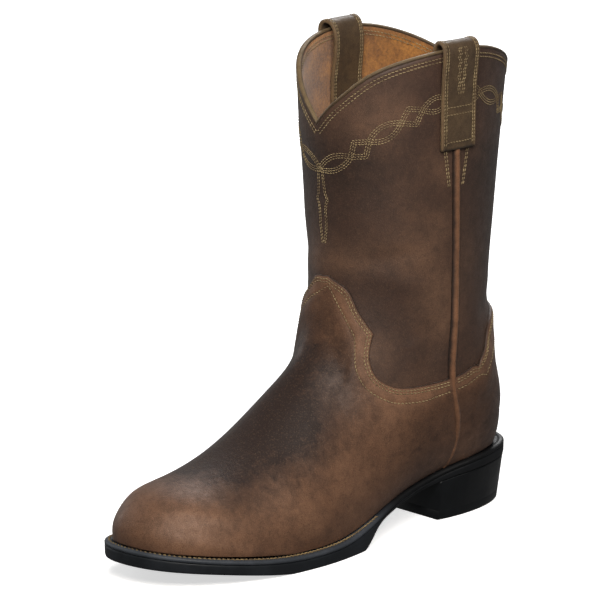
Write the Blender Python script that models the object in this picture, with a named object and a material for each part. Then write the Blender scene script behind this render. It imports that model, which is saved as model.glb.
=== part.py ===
"""A left roper boot: hollow leather upper, overlays, straps, welt, rubber outsole and heel.

Lengths are in millimetres until they are put in the mesh. s runs forward from the back of the
heel, x to the wearer's outer side, z up from the floor. The toe points along -Y in the scene.
"""

import bpy
import numpy as np

# driving dimensions, mm
MM = 0.001
LAST_LENGTH = 277.5
HEEL_ROUND = 42.0
BALL_LINE = 194.0
TOE_CENTRE = -5.7
WALL = 2.4
GAP = 0.4
OVERLAY = 1.5
SINK = 1.6
TONGUE_LEAN = 0.06
PIPING = (4.0, 2.5)
BEAD = 1.9
SEAM_CLEAR = 0.8
STRAP = (26.0, 2.2)
STRAP_CENTRE = 64.3
STRAP_FOOT = 232.0
STRAP_INSIDE = 214.0
WELT = 2.6
WELT_FACE = 1.4
WELT_BEVEL = 1.5
WELT_WIDTH = 11.0
SOLE_DRAFT = 0.5
BREAST = 62.5
TOP_LIFT = 6.0
HEEL_FOOT = (47.0, 55.0, 31.0, 30.0)
INSOLE = 2.5
INSOLE_INSET = 5.4
MOUNT_CENTRE = 30.0

# feather line, where upper meets sole: s, height, outer half width, inner half width
FEATHER = [
    (0.0, 39.0, 0.0, 0.0),
    (42.0, 35.9, 34.2, 32.6),
    (66.5, 30.8, 30.6, 29.5),
    (95.0, 24.3, 32.2, 26.2),
    (123.5, 17.0, 38.6, 26.8),
    (152.0, 11.2, 44.6, 31.6),
    (173.0, 10.0, 46.8, 38.6),
    (194.0, 10.4, 46.6, 43.2),
    (237.5, 16.0, 0.0, 0.0),
    (277.5, 22.4, 0.0, 0.0),
]

# rows of the last, toe to rim. Each is a cross-section hinged from its back point to its front
# point. Columns: name, front s, front z, back s, back z (None: on the feather line), outer half
# width, inner half width, ridge x, widest fraction, power over, power under
ROWS = [
    ("toe_edge", 277.5, 22.4, 193.8, None, 46.6, 43.2, -5.7, 0.00, 2.25, 2.0),
    ("toe_wall", 277.4, 31.0, 191.9, None, 46.9, 43.6, -5.7, 0.02, 2.25, 2.0),
    ("toe_cap", 272.6, 39.9, 189.0, None, 46.7, 44.2, -5.7, 0.05, 2.20, 2.0),
    ("toe_top", 259.3, 49.3, 184.3, None, 46.6, 44.2, -5.7, 0.09, 2.20, 2.0),
    ("vamp_fore", 236.0, 54.1, 177.7, None, 46.5, 43.2, -6.6, 0.14, 2.15, 2.0),
    ("vamp_ball", 209.4, 61.8, 167.2, None, 47.4, 41.4, -7.4, 0.19, 2.05, 2.0),
    ("vamp_mid", 183.6, 75.2, 152.0, None, 46.0, 38.7, -7.6, 0.22, 1.95, 2.0),
    ("instep_low", 158.8, 92.0, 131.1, None, 43.0, 36.8, -7.4, 0.24, 1.90, 2.0),
    ("instep", 138.0, 109.2, 104.5, None, 40.6, 37.2, -6.4, 0.26, 1.90, 2.0),
    ("throat_low", 129.6, 131.4, 74.1, None, 42.4, 40.8, -4.8, 0.30, 1.90, 2.0),
    ("throat", 126.0, 150.6, 39.9, None, 45.6, 44.6, -2.8, 0.35, 1.90, 2.0),
    ("heel_low", 125.4, 165.4, 10.5, None, 48.2, 47.4, -1.6, 0.40, 1.95, 2.0),
    ("heel_turn", 124.8, 176.7, -1.2, 55.0, 49.2, 48.8, -0.6, 0.45, 2.0, 2.0),
    ("ankle_low", 124.8, 186.4, 2.6, 83.6, 48.6, 48.6, 0.0, 0.48, 2.0, 2.0),
    ("ankle", 125.4, 197.2, 6.6, 114.0, 48.2, 48.6, 0.0, 0.5, 2.0, 2.0),
    ("shaft_low", 126.4, 211.9, 6.4, 144.4, 48.4, 48.8, 0.0, 0.5, 2.0, 2.0),
    ("shaft_mid", 128.4, 237.0, 1.4, 185.2, 49.4, 49.6, 0.0, 0.5, 2.0, 2.0),
    ("shaft_high", 130.3, 267.8, -4.6, 232.8, 50.6, 50.8, 0.0, 0.5, 2.0, 2.0),
    ("collar", 130.4, 302.2, -10.8, 285.0, 51.9, 52.0, 0.0, 0.5, 2.0, 2.0),
    ("over", 129.4, 327.9, -13.0, 327.8, 52.9, 52.9, 0.0, 0.5, 2.0, 2.0),
]
HEEL_TURN = 12

# height of the scalloped rim round the outer half, back centre to front centre: w, z
RIM = [
    (0.00, 249.5), (0.03, 258.0), (0.06, 266.0), (0.09, 272.8), (0.12, 278.4), (0.16, 284.2),
    (0.20, 288.2), (0.25, 290.2), (0.30, 289.6), (0.344, 287.0), (0.39, 281.6), (0.417, 276.0),
    (0.444, 268.0), (0.472, 259.0), (0.50, 248.0),
]

# lines up the outer half of the upper, back centre to front centre: name, steps to the next
# line, foot (s on the side, or fraction across the toe), overlay edge (row, across), middle
# (row, across), rim across
LINES = [
    ("back", 4, ("side", 0.0), (14.75, 0.0), (16.0, 0.0), 0.0),
    ("heel", 1, ("side", 25.0), (13.62, 0.129), (15.1, 0.126), 0.116),
    ("heel_side", 1, ("side", 33.0), (12.94, 0.165), (14.7, 0.162), 0.152),
    ("counter", 1, ("side", 41.0), (12.30, 0.188), (14.3, 0.193), 0.185),
    ("quarter", 1, ("side", 49.0), (11.50, 0.202), (13.7, 0.226), 0.217),
    ("seam", 2, ("side", 57.5), (10.68, 0.205), (12.9, 0.258), 0.250),
    ("arch", 1, ("side", 100.0), (9.81, 0.219), (13.0, 0.279), 0.272),
    ("shank", 1, ("side", 123.0), (9.45, 0.238), (13.1, 0.292), 0.290),
    ("sweep", 1, ("side", 143.0), (9.15, 0.260), (13.2, 0.304), 0.307),
    ("joint", 1, ("side", 160.0), (9.00, 0.282), (13.3, 0.316), 0.325),
    ("corner", 1, ("side", 178.0), (8.92, 0.304), (13.4, 0.329), 0.342),
    ("ball", 1, ("toe", 0.0), (8.94, 0.316), (13.4, 0.337), 0.352),
    ("joint_fore", 1, ("toe", 0.05), (9.00, 0.329), (13.4, 0.345), 0.363),
    ("wing", 2, ("toe", 0.12), (9.17, 0.346), (13.4, 0.357), 0.375),
    ("cusp", 2, ("toe", 0.20), (9.68, 0.364), (13.4, 0.385), 0.400),
    ("neck", 2, ("toe", 0.27), (9.97, 0.410), (13.4, 0.420), 0.430),
    ("shoulder", 3, ("toe", 0.35), (10.38, 0.439), (13.4, 0.450), 0.455),
    ("tip", 0, ("toe", 0.50), (10.48, 0.5), (13.4, 0.5), 0.5),
]
# the side seam seen from the side: z, s
SEAM_PATH = [
    (31.0, 57.5), (42.6, 57.2), (51.4, 57.4), (62.2, 59.3), (71.6, 61.9), (81.6, 64.7),
    (93.7, 66.4), (109.8, 66.5), (130.4, 65.3), (152.0, 64.3), (176.0, 63.8), (205.0, 64.2),
    (235.0, 64.8), (300.0, 65.2),
]
LOW_STEPS = [0, 0.04, 0.09, 0.15, 0.22, 0.30, 0.385, 0.475, 0.57, 0.67, 0.78, 0.89, 1.0]
SUNK = [1, 1, 1, 1, 1, 1, 1, 1, 1, 1, 0.9, 0.5, 0.0]
MID_STEPS = 3
HIGH_STEPS = 6

# underside of the outsole: s, z, cut off flat at the floor
TREAD = [
    (-6.0, 30.4), (42.0, 27.8), (62.5, 25.0), (95.0, 18.6), (110.0, 14.9), (118.0, 12.3),
    (124.0, 8.6), (130.0, 3.7), (136.0, 0.1), (144.0, -1.0), (175.0, -0.9), (198.0, 0.2),
    (218.0, 3.2), (245.0, 7.8), (285.0, 13.0),
]
# how far the sole stands out from the feather line: s, distance
SOLE_EDGE = [(-6, 7.4), (4, 7.0), (20, 4.0), (40, 2.8), (62, 2.8), (105, 3.0), (145, 5.8), (180, 6.0),
             (210, 5.2), (285, 5.2)]


def spline(knots, values):
    """A natural cubic spline through the values."""
    x = np.asarray(knots, float)
    y = np.asarray(values, float)
    count = len(x)
    gap = np.diff(x)
    left = np.zeros((count, count))
    right = np.zeros((count,) + y.shape[1:])
    left[0, 0] = 1
    left[-1, -1] = 1
    for i in range(1, count - 1):
        left[i, i - 1] = gap[i - 1]
        left[i, i] = 2 * (gap[i - 1] + gap[i])
        left[i, i + 1] = gap[i]
        right[i] = 6 * ((y[i + 1] - y[i]) / gap[i] - (y[i] - y[i - 1]) / gap[i - 1])
    bend = np.linalg.solve(left, right)

    def at(t):
        t = np.atleast_1d(np.asarray(t, float))
        i = np.clip(np.searchsorted(x, t, side="right") - 1, 0, count - 2)
        h = gap[i]
        b = t - x[i]
        a = h - b
        if y.ndim > 1:
            a, b, h = a[:, None], b[:, None], h[:, None]
        curve = (bend[i] * a**3 + bend[i + 1] * b**3) / (6 * h)
        return curve + (y[i] / h - bend[i] * h / 6) * a + (y[i + 1] / h - bend[i + 1] * h / 6) * b

    return at


feather_curve = spline([row[0] for row in FEATHER], [row[1] for row in FEATHER])
side_rows = [row for row in FEATHER if row[2] > 0]
side_curves = [spline([row[0] for row in side_rows], [row[c] for row in side_rows]) for c in (2, 3)]


def feather_z(s):
    """Height of the feather line over the floor."""
    return feather_curve(np.clip(s, -8.0, LAST_LENGTH + 8.0))


def feather_widths(s):
    """Outer and inner half widths of the feather line: a round heel, the sides, a round toe."""
    s = np.atleast_1d(np.asarray(s, float))
    found = []
    for curve, first, last in zip(side_curves, side_rows[0][2:], side_rows[-1][2:]):
        width = curve(np.clip(s, HEEL_ROUND, BALL_LINE))
        back = np.clip((HEEL_ROUND - s) / HEEL_ROUND, 0, 1)
        front = np.clip((s - BALL_LINE) / (LAST_LENGTH - BALL_LINE), 0, 1)
        width = np.where(s < HEEL_ROUND, first * (1 - back**2.2) ** (1 / 2.2), width)
        centre = TOE_CENTRE if not found else -TOE_CENTRE
        toe = centre + (last - centre) * (1 - front**2.25) ** (1 / 2.25)
        found.append(np.where(s > BALL_LINE, toe, width))
    return found


def row_table():
    """The rows as numbers, with each missing back height taken from the feather line."""
    table = []
    for _, front_s, front_z, back_s, back_z, *rest in ROWS:
        if back_z is None:
            back_z = float(feather_z(back_s)[0])
        table.append([front_s, front_z, back_s, back_z, *rest])
    return np.array(table)


row_curve = spline(np.arange(len(ROWS)), row_table())
row_steps = np.linspace(0, HEEL_TURN, 2401)
T_HEEL = float(row_steps[np.argmax(row_curve(row_steps)[:, 2] < 0)])


def section(t, count=100, dense=160):
    """One cross-section, from the outer foot over the ridge to the inner foot."""
    front_s, front_z, back_s, back_z, outer, inner, ridge, widest, over, under = row_curve(t)[0]
    feet = feather_widths(max(back_s, 0.0))
    halves = []
    for sign, width, foot in ((1, outer, feet[0][0]), (-1, inner, feet[1][0])):
        rise = np.zeros(0)
        across = np.zeros(0)
        if widest > 1e-6:
            foot = 0.0 if t >= T_HEEL else min(foot, width - 1e-3)
            turn = np.arccos(np.clip((foot / width) ** (under / 2), 0, 1))
            angle = np.linspace(turn, 0, dense)
            rise = widest * (1 - np.sin(angle) ** (2 / under) / np.sin(turn) ** (2 / under))
            across = width * np.cos(angle) ** (2 / under)
        angle = np.linspace(0, np.pi / 2, dense)[min(len(rise), 1):]
        top = ridge * sign
        rise = np.append(rise, widest + (1 - widest) * np.sin(angle) ** (2 / over))
        across = np.append(across, top + (width - top) * np.abs(np.cos(angle)) ** (2 / over))
        along = back_s + (front_s - back_s) * rise
        height = back_z + (front_z - back_z) * rise
        line = np.stack([across * sign, along, height], 1)
        run = np.append(0, np.cumsum(np.linalg.norm(np.diff(line, axis=0), axis=1)))
        even = np.linspace(0, run[-1], count + 1)
        halves.append(np.stack([np.interp(even, run, line[:, k]) for k in range(3)], 1))
    return np.concatenate([halves[0], halves[1][::-1][1:]])


def unit(vectors):
    """The vectors at length one."""
    return vectors / np.maximum(np.linalg.norm(vectors, axis=-1, keepdims=True), 1e-9)


# the skin of the last, sampled once: rows up, across from outer foot to inner foot
T_STEP = 0.05
T_ALL = np.arange(0, len(ROWS) - 1 + T_STEP / 2, T_STEP)
LATTICE = np.array([section(t) for t in T_ALL])
NORMALS = unit(np.cross(np.gradient(LATTICE, axis=1), np.gradient(LATTICE, axis=0)))


def sample(lattice, t, w):
    """Values of a lattice at row t and fraction w across."""
    t = np.clip(np.asarray(t, float) / T_STEP, 0, len(T_ALL) - 1.001)
    w = np.clip(np.asarray(w, float), 0, 1) * (lattice.shape[1] - 1)
    w = np.minimum(w, lattice.shape[1] - 1.001)
    i, j = t.astype(int), w.astype(int)
    a, b = (t - i)[..., None], (w - j)[..., None]
    low = lattice[i, j] * (1 - b) + lattice[i, j + 1] * b
    high = lattice[i + 1, j] * (1 - b) + lattice[i + 1, j + 1] * b
    return low * (1 - a) + high * a


def skin(t, w, out=0.0):
    """Points of the upper's outer face, moved out along its normal."""
    return sample(LATTICE, t, w) + unit(sample(NORMALS, t, w)) * out


def place(side, s, z, guess=None):
    """(t, w) of the outer face where it passes through s and z on one side of the boot."""
    guess = np.array([16.0, 0.25 if side > 0 else 0.75] if guess is None else guess)
    for _ in range(12):
        here = skin(*guess)[1:]
        slope = np.stack([(skin(guess[0] + 0.05, guess[1])[1:] - here) / 0.05,
                          (skin(guess[0], guess[1] + 0.01)[1:] - here) / 0.01], 1)
        guess = guess + np.linalg.solve(slope, np.array([s, z]) - here)
    return guess


def row_of_s(s):
    """The row whose back point lies at s on the feather line."""
    return float(row_steps[np.argmax(row_curve(row_steps)[:, 2] <= s)])


def rim_row(w):
    """The row at which the rim lies, for a fraction across the outer half."""
    rows = np.linspace(13, 18.9, 600)
    heights = sample(LATTICE, rows, np.full(600, w))[:, 2]
    knots = [row[0] for row in RIM]
    return float(np.interp(np.interp(w, knots, [row[1] for row in RIM]), heights, rows))


def upper_lines():
    """(t, w) of every vertex of the outer half: one array per line up the upper."""
    lines = []
    for first, second in zip(LINES, LINES[1:]):
        for step in range(first[1]):
            k = step / first[1]
            feet = []
            for kind, where in (first[2], second[2]):
                feet.append((row_of_s(where), 0.0) if kind == "side" else (0.0, where))
            points = [np.array(feet[0]) * (1 - k) + np.array(feet[1]) * k]
            points += [np.array(first[c]) * (1 - k) + np.array(second[c]) * k for c in (3, 4)]
            across = first[5] * (1 - k) + second[5] * k
            points.append(np.array([rim_row(across), across]))
            lines.append(path_up(points))
    last = LINES[-1]
    points = [np.array((0.0, last[2][1])), np.array(last[3]), np.array(last[4])]
    lines.append(path_up(points + [np.array([rim_row(last[5]), last[5]])]))
    return np.array(lines)


def path_up(points):
    """Vertices up one line, through its foot, overlay edge, middle and rim."""
    foot, edge, middle, rim = points
    path = [foot + (edge - foot) * k for k in LOW_STEPS]
    path += [edge + (middle - edge) * k / MID_STEPS for k in range(1, MID_STEPS + 1)]
    path += [middle + (rim - middle) * k / HIGH_STEPS for k in range(1, HIGH_STEPS + 1)]
    return np.array(path)


def flat_unit(vectors):
    """Unit vectors of the level parts of some vectors."""
    return unit(vectors * np.array([1.0, 1.0, 0.0]))


def tongue_lean(t, w):
    """How far across the tongue leans to the outer side, most at its inner neck."""
    up = np.clip((w - 0.44) / 0.14, 0, 1)
    down = np.clip((0.645 - w) / 0.06, 0, 1)
    return TONGUE_LEAN * up**2 * (3 - 2 * up) * down**2 * (3 - 2 * down) * np.exp(-((t - 10.0) ** 2))


def boot_grid():
    """(t, w) round the whole boot: outer back centre, toe, inner side, back to the start."""
    outer = upper_lines()
    inner = outer[::-1][1:-1].copy()
    inner[:, :, 1] = 1 - inner[:, :, 1]
    grid = np.concatenate([outer, inner])
    grid[:, :, 1] -= tongue_lean(grid[:, :, 0], grid[:, :, 1])
    return grid


GRID = boot_grid()
SEAM = sum(line[1] for line in LINES[:5])
EDGE_ROW = len(LOW_STEPS) - 1
COLUMNS = len(GRID)


BASE = sample(LATTICE, GRID[:, :, 0], GRID[:, :, 1])
BASE[0, 0, 0] = 0.0


def onto_skin(targets):
    """The nearest points of the skin to some points beside it."""
    flat, normals = LATTICE.reshape(-1, 3), NORMALS.reshape(-1, 3)
    found = []
    for target in targets:
        k = int(np.argmin(np.sum((flat - target) ** 2, 1)))
        found.append(target - normals[k] * np.dot(target - flat[k], normals[k]))
    return np.array(found)


# round the heel the rows turn too sharply to follow, so those lines run straight up instead
for column in np.arange(-SEAM + 1, SEAM):
    foot, edge = BASE[column, 0], BASE[column, EDGE_ROW]
    lift = np.array(LOW_STEPS[1:-1])[:, None]
    BASE[column, 1:EDGE_ROW] = onto_skin(foot + (edge - foot) * lift)
seam_curve = spline([row[0] for row in SEAM_PATH], [row[1] for row in SEAM_PATH])
for side, column in ((1, SEAM), (-1, COLUMNS - SEAM)):
    for row in range(1, GRID.shape[1] - 1):
        z = BASE[column, row, 2]
        GRID[column, row] = place(side, seam_curve(z)[0], z, GRID[column, row])
        BASE[column, row] = skin(*GRID[column, row])
BASE[:, 0, 2] = feather_z(BASE[:, 0, 1])
BASE[0, :, 0] = 0.0
ROUND = np.roll(BASE, -1, 0) - np.roll(BASE, 1, 0)
OUTWARD = unit(np.cross(np.gradient(BASE, axis=1), ROUND))
OUTWARD *= np.sign(np.sum(OUTWARD * sample(NORMALS, GRID[:, :, 0], GRID[:, :, 1]), -1))[..., None]
# under the overlays the upper lies deeper, so that they stand out at their edges alone
BASE[:, 1:EDGE_ROW + 1] -= OUTWARD[:, 1:EDGE_ROW + 1] * SINK * np.array(SUNK)[1:, None]
BASE[:, 0] -= OUTWARD[:, 0] * [1.0, 1.0, 0.0] * SINK
BASE[:, 0, 2] = feather_z(BASE[:, 0, 1])


def layer(out, rows=None):
    """The grid's points moved out along the normal, with the foot kept on the feather line."""
    points = BASE[:, :rows] + OUTWARD[:, :rows] * out
    points[:, 0] = BASE[:, 0] + flat_unit(OUTWARD[:, 0]) * out
    points[:, 0, 2] = feather_z(points[:, 0, 1])
    return points


def quads(a, b, closed=True):
    """Triangles between two rows of vertex numbers, split the same way in every layer."""
    faces = []
    for i in range(len(a) if closed else len(a) - 1):
        k = (i + 1) % len(a)
        faces += [(a[i], a[k], b[k]), (a[i], b[k], b[i])]
    return faces


def make(name, points, faces, colour, roughness):
    """One named mesh with its own material. Points are (x, s, z) in millimetres."""
    world = np.array(points, float)
    world[:, 1] = MOUNT_CENTRE - world[:, 1]
    mesh = bpy.data.meshes.new(name)
    mesh.from_pydata((world * MM).tolist(), [], [tuple(int(i) for i in face) for face in faces])
    mesh.validate()
    mesh.update()
    volume = 0.0
    for face in faces:
        for b, c in zip(face[1:], face[2:]):
            volume += np.dot(world[face[0]], np.cross(world[b], world[c]))
    if volume < 0:
        mesh.flip_normals()
    mesh.materials.append(bpy.data.materials.new(name))
    mesh.materials[0].use_nodes = True
    shader = mesh.materials[0].node_tree.nodes["Principled BSDF"]
    shader.inputs["Base Color"].default_value = (*colour, 1.0)
    shader.inputs["Roughness"].default_value = roughness
    thing = bpy.data.objects.new(name, mesh)
    bpy.context.scene.collection.objects.link(thing)
    return thing


def sheet(name, outer, inner, colour, roughness, closed):
    """A solid between two grids of points, each (columns, rows, 3)."""
    columns, rows = outer.shape[:2]
    number = np.arange(columns * rows).reshape(columns, rows)
    other = number + columns * rows
    faces = []
    for i in range(columns if closed else columns - 1):
        k = (i + 1) % columns
        faces += quads(number[i], number[k], False)
        faces += [face[::-1] for face in quads(other[i], other[k], False)]
        faces += [(number[i, 0], number[k, 0], other[k, 0], other[i, 0])]
        faces += [(number[k, -1], number[i, -1], other[i, -1], other[k, -1])]
    if not closed:
        faces += quads(other[0], number[0], False)
        faces += quads(number[-1], other[-1], False)
    points = np.concatenate([outer.reshape(-1, 3), inner.reshape(-1, 3)])
    return make(name, points, faces, colour, roughness)


def ring(name, loops, colour, roughness):
    """A closed solid swept round by loops of points, each (stations, 3), in profile order."""
    count = len(loops[0])
    number = np.arange(count * len(loops)).reshape(len(loops), count)
    faces = []
    for i in range(len(loops)):
        faces += quads(number[i], number[(i + 1) % len(loops)])
    return make(name, np.concatenate(loops), faces, colour, roughness)


def tube(name, stations, colour, roughness):
    """A closed solid along a path: one closed profile per station, with flat ends."""
    count = len(stations[0])
    number = np.arange(count * len(stations)).reshape(len(stations), count)
    faces = []
    for a, b in zip(number, number[1:]):
        faces += quads(a, b)
    half = count // 2
    for end, turn in ((number[0], -1), (number[-1], 1)):
        for i in range(half - 1):
            faces.append((end[i], end[i + 1], end[count - 2 - i], end[count - 1 - i])[::turn])
    return make(name, np.concatenate(stations), faces, colour, roughness)


# leather parts
LEATHER = (0.085, 0.045, 0.028)


def build_upper():
    """The hollow upper, one wall from the sole to the rim."""
    sheet("upper", layer(0.0), layer(-WALL), LEATHER, 0.55, True)


def trimmed(points, amount):
    """A patch with its first and last lines pulled in along each row, clear of the piping."""
    points = points.copy()
    for edge, beside in ((0, 1), (-1, -2)):
        step = unit(points[beside] - points[edge])
        along = unit(np.gradient(points[edge], axis=0))
        lean = np.linalg.norm(np.cross(step, along), axis=1, keepdims=True)
        points[edge] += step * amount / np.maximum(lean, 0.4)
    return points


def build_overlay(name, columns, colour):
    """A leather layer over the foot of the upper, on the upper's own lines."""
    inside = layer(GAP, EDGE_ROW + 1)[columns]
    outside = layer(GAP + OVERLAY, EDGE_ROW + 1)[columns]
    trim = PIPING[0] / 2 + SEAM_CLEAR
    sheet(name, trimmed(outside, trim), trimmed(inside, trim), colour, 0.5, False)


def build_piping(name, column):
    """A raised leather strip up the side seam, from the sole to the foot of the strap."""
    base = layer(0.0)[column]
    normal = OUTWARD[column].copy()
    normal[0] = flat_unit(normal[:1])[0]
    along = unit(np.gradient(base, axis=0))
    side = unit(np.cross(normal, along))
    top = STRAP_FOOT - 1.0
    last = int(np.argmax(base[:, 2] > top))
    k = (top - base[last - 1, 2]) / (base[last, 2] - base[last - 1, 2])
    for values in (base, normal, side):
        values[last] = values[last - 1] * (1 - k) + values[last] * k
    half, tall = PIPING[0] / 2, PIPING[1]
    profile = [(-half, 0.0), (-half, tall * 0.55), (-half * 0.45, tall), (half * 0.45, tall)]
    profile += [(half, tall * 0.55), (half, 0.0)]
    low = 2 * GAP
    stations = []
    for i in range(last + 1):
        stations.append([base[i] + side[i] * a + normal[i] * (b + low) for a, b in profile])
    for point in stations[0]:
        point[2] = float(feather_z(point[1])[0])
    tube(name, np.array(stations), (0.16, 0.07, 0.035), 0.45)


def build_binding():
    """A rolled bead along the rim."""
    normal = OUTWARD[:, -1]
    middle = BASE[:, -1] - normal * WALL / 2
    along = unit(np.roll(middle, -1, 0) - np.roll(middle, 1, 0))
    rise = unit(np.cross(along, normal))
    rise *= np.sign(rise[:, 2:3])
    half = WALL / 2
    profile = [(half + 0.2, GAP), (half + 0.7, GAP + 0.7), (half * 0.55, GAP + BEAD)]
    profile += [(-half * 0.55, GAP + BEAD), (-half - 0.7, GAP + 0.7), (-half - 0.2, GAP)]
    ring("topline_binding", [middle + normal * a + rise * b for a, b in profile], LEATHER, 0.5)


# pull strap path: height, distance out from the upper's outer face to the strap's middle
STRAP_PATH = [
    (STRAP_FOOT, 1.75), (245.0, 1.75), (258.0, 1.8), (268.0, 2.1), (277.0, 2.7), (284.5, 3.5),
    (290.3, 3.8), (294.4, 2.2), (295.7, -1.2), (294.4, -4.8), (289.5, -7.4), (281.5, -7.7),
    (273.0, -6.8), (264.0, -5.2), (252.0, -4.3), (234.0, -4.1), (STRAP_INSIDE, -4.1),
]


def build_strap(name, side):
    """A leather loop over the rim, lying on the shaft outside and inside."""
    middles = []
    for z, out in STRAP_PATH:
        row = []
        for k in np.linspace(-0.5, 0.5, 5):
            where = place(side, STRAP_CENTRE + k * STRAP[0], z)
            row.append(sample(LATTICE, *where) + flat_unit(sample(NORMALS, *where)) * out)
        middles.append(row)
    middles = np.array(middles)
    normal = unit(np.cross(np.gradient(middles, axis=0), np.gradient(middles, axis=1)))
    if np.dot(normal[0, 2], (side, 0, 0)) < 0:
        normal = -normal
    half = STRAP[1] / 2
    sheet(name, middles + normal * half, middles - normal * half, LEATHER, 0.5, False)


# sole parts
tread_curve = spline([row[0] for row in TREAD], [row[1] for row in TREAD])


def tread_z(s):
    """Height of the outsole's underside."""
    return np.maximum(tread_curve(s), 0.0)


def outline(out, stations, stop=None, edge=SOLE_EDGE):
    """A loop round the sole at a distance from the edge, from the heel tip. Points on
    the two sides pair up at equal s. With stop the loop is cut straight across at that s."""
    angle = np.linspace(0, 1, 160)
    s = np.concatenate([HEEL_ROUND * (1 - np.cos(angle * np.pi / 2)),
                        np.linspace(HEEL_ROUND, BALL_LINE, 160)[1:],
                        BALL_LINE + (LAST_LENGTH - BALL_LINE) * np.sin(angle * np.pi / 2)[1:]])
    away = np.interp(s, *zip(*edge)) + out
    sides = []
    for sign, width in zip((1, -1), feather_widths(s)):
        line = np.stack([width * sign, s], 1)
        ahead = np.gradient(line, axis=0)
        ahead[0] = (sign, 0)
        ahead[-1] = (-sign, 0)
        normal = unit(np.stack([ahead[:, 1], -ahead[:, 0]], 1)) * sign
        sides.append(line + normal * away[:, None])
    first, last = sides[0][0, 1], sides[0][-1, 1] if stop is None else stop
    heel, shank, toe = stations
    where = first + (HEEL_ROUND - first) * (1 - np.cos(np.linspace(0, np.pi / 2, heel + 1)))
    if stop is None:
        where = np.append(where, np.linspace(HEEL_ROUND, BALL_LINE, shank + 1)[1:])
        swing = np.sin(np.linspace(0, np.pi / 2, toe + 1))[1:]
        where = np.append(where, BALL_LINE + (last - BALL_LINE) * swing)
    else:
        where = np.append(where, np.linspace(HEEL_ROUND, stop, shank + 1)[1:])
    outer, inner = [np.stack([np.interp(where, side[:, 1], side[:, 0]), where], 1)
                    for side in sides]
    back = inner[::-1][:-1] if stop is not None else inner[::-1][1:-1]
    return np.concatenate([outer, back])


def lifted(loop, height):
    """A flat loop given its heights."""
    return np.column_stack([loop, np.broadcast_to(height, len(loop))])


def slab(name, loops, colour, roughness):
    """A solid through loops from the bottom up, closed across at both ends."""
    count = len(loops[0])
    number = np.arange(count * len(loops)).reshape(len(loops), count)
    faces = []
    for a, b in zip(number, number[1:]):
        faces += quads(a, b)
    for loop, turn in ((number[0], -1), (number[-1], 1)):
        for k in range(count // 2):
            corners = [k, k + 1, count - k - 1, (count - k) % count]
            corners = list(dict.fromkeys(corners))
            if k + 1 <= count - k - 1 and len(corners) > 2:
                faces.append(tuple(loop[c] for c in corners)[::turn])
    return make(name, np.concatenate(loops), faces, colour, roughness)


RUBBER = (0.012, 0.013, 0.015)
SOLE_STATIONS = (9, 14, 11)


def build_welt():
    """The bevelled strip round the edge, between upper and outsole."""
    edge = outline(0.0, SOLE_STATIONS)
    bevel = outline(-WELT_BEVEL, SOLE_STATIONS)
    inside = outline(-WELT_WIDTH, SOLE_STATIONS)
    top = [feather_z(loop[:, 1]) - GAP for loop in (edge, bevel, inside)]
    loops = [lifted(edge, top[0] - WELT), lifted(edge, top[0] - WELT + WELT_FACE)]
    loops += [lifted(bevel, top[1])]
    loops += [lifted(inside, top[2]), lifted(inside, top[2] - WELT)]
    ring("welt", loops, (0.045, 0.048, 0.055), 0.6)


def build_outsole():
    """The rubber sole: flat under the ball, with a seat for the welt and a raised middle."""
    base = outline(-SOLE_DRAFT, SOLE_STATIONS)
    edge = outline(0.0, SOLE_STATIONS)
    land = outline(-WELT_WIDTH - GAP, SOLE_STATIONS)
    middle = outline(-WELT_WIDTH - GAP - SOLE_DRAFT, SOLE_STATIONS)
    loops = [lifted(base, tread_z(base[:, 1]))]
    for loop, drop in ((edge, 2 * GAP + WELT), (land, 2 * GAP + WELT), (middle, 0.15)):
        loops.append(lifted(loop, feather_z(loop[:, 1]) - drop))
    slab("outsole", loops, RUBBER, 0.5)


def build_heel():
    """The heel block, tapered to its flat tread, with a straight breast."""
    centre, length, outer, inner = HEEL_FOOT
    head = outline(-SOLE_DRAFT, (8, 2, 0), BREAST)
    foot = head.copy()
    foot[:, 1] = BREAST - (BREAST - head[:, 1]) * (BREAST - centre + length) / (BREAST - head[0, 1])
    bow = np.sqrt(np.clip(1 - ((centre - foot[:, 1]) / length) ** 2, 0, 1))
    foot[:, 0] = np.where(head[:, 0] > 0, outer, -inner) * bow
    foot[0, 0] = 0.0
    low = foot + (head - foot) * TOP_LIFT / float(tread_z(20.0)[0])
    loops = [lifted(foot, 0.0), lifted(low, TOP_LIFT), lifted(head, tread_z(head[:, 1]) - GAP)]
    slab("heel", loops, RUBBER, 0.45)


def build_insole():
    """The flat board inside, on the sole."""
    board = outline(-INSOLE_INSET, (7, 9, 8), edge=[(0, 0.0), (1, 0.0)])
    loops = [lifted(board, feather_z(board[:, 1]) + lift) for lift in (0.3, INSOLE)]
    slab("insole", loops, (0.35, 0.2, 0.1), 0.8)


def clear_scene():
    """Removes whatever the scene holds at the start."""
    for thing in list(bpy.data.objects):
        bpy.data.objects.remove(thing, do_unlink=True)


clear_scene()
build_upper()
build_overlay("vamp", np.arange(SEAM, COLUMNS - SEAM + 1), (0.07, 0.036, 0.022))
build_overlay("counter", np.arange(-SEAM, SEAM + 1), (0.07, 0.036, 0.022))
build_piping("side_piping_lateral", SEAM)
build_piping("side_piping_medial", COLUMNS - SEAM)
build_binding()
build_strap("pull_strap_lateral", 1)
build_strap("pull_strap_medial", -1)
build_insole()
build_welt()
build_outsole()
build_heel()
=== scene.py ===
"""A left roper boot in oiled brown pull-up leather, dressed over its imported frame."""

import math

import bpy
import numpy as np
from mathutils import Matrix, Vector, noise
from mathutils.bvhtree import BVHTree


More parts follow.
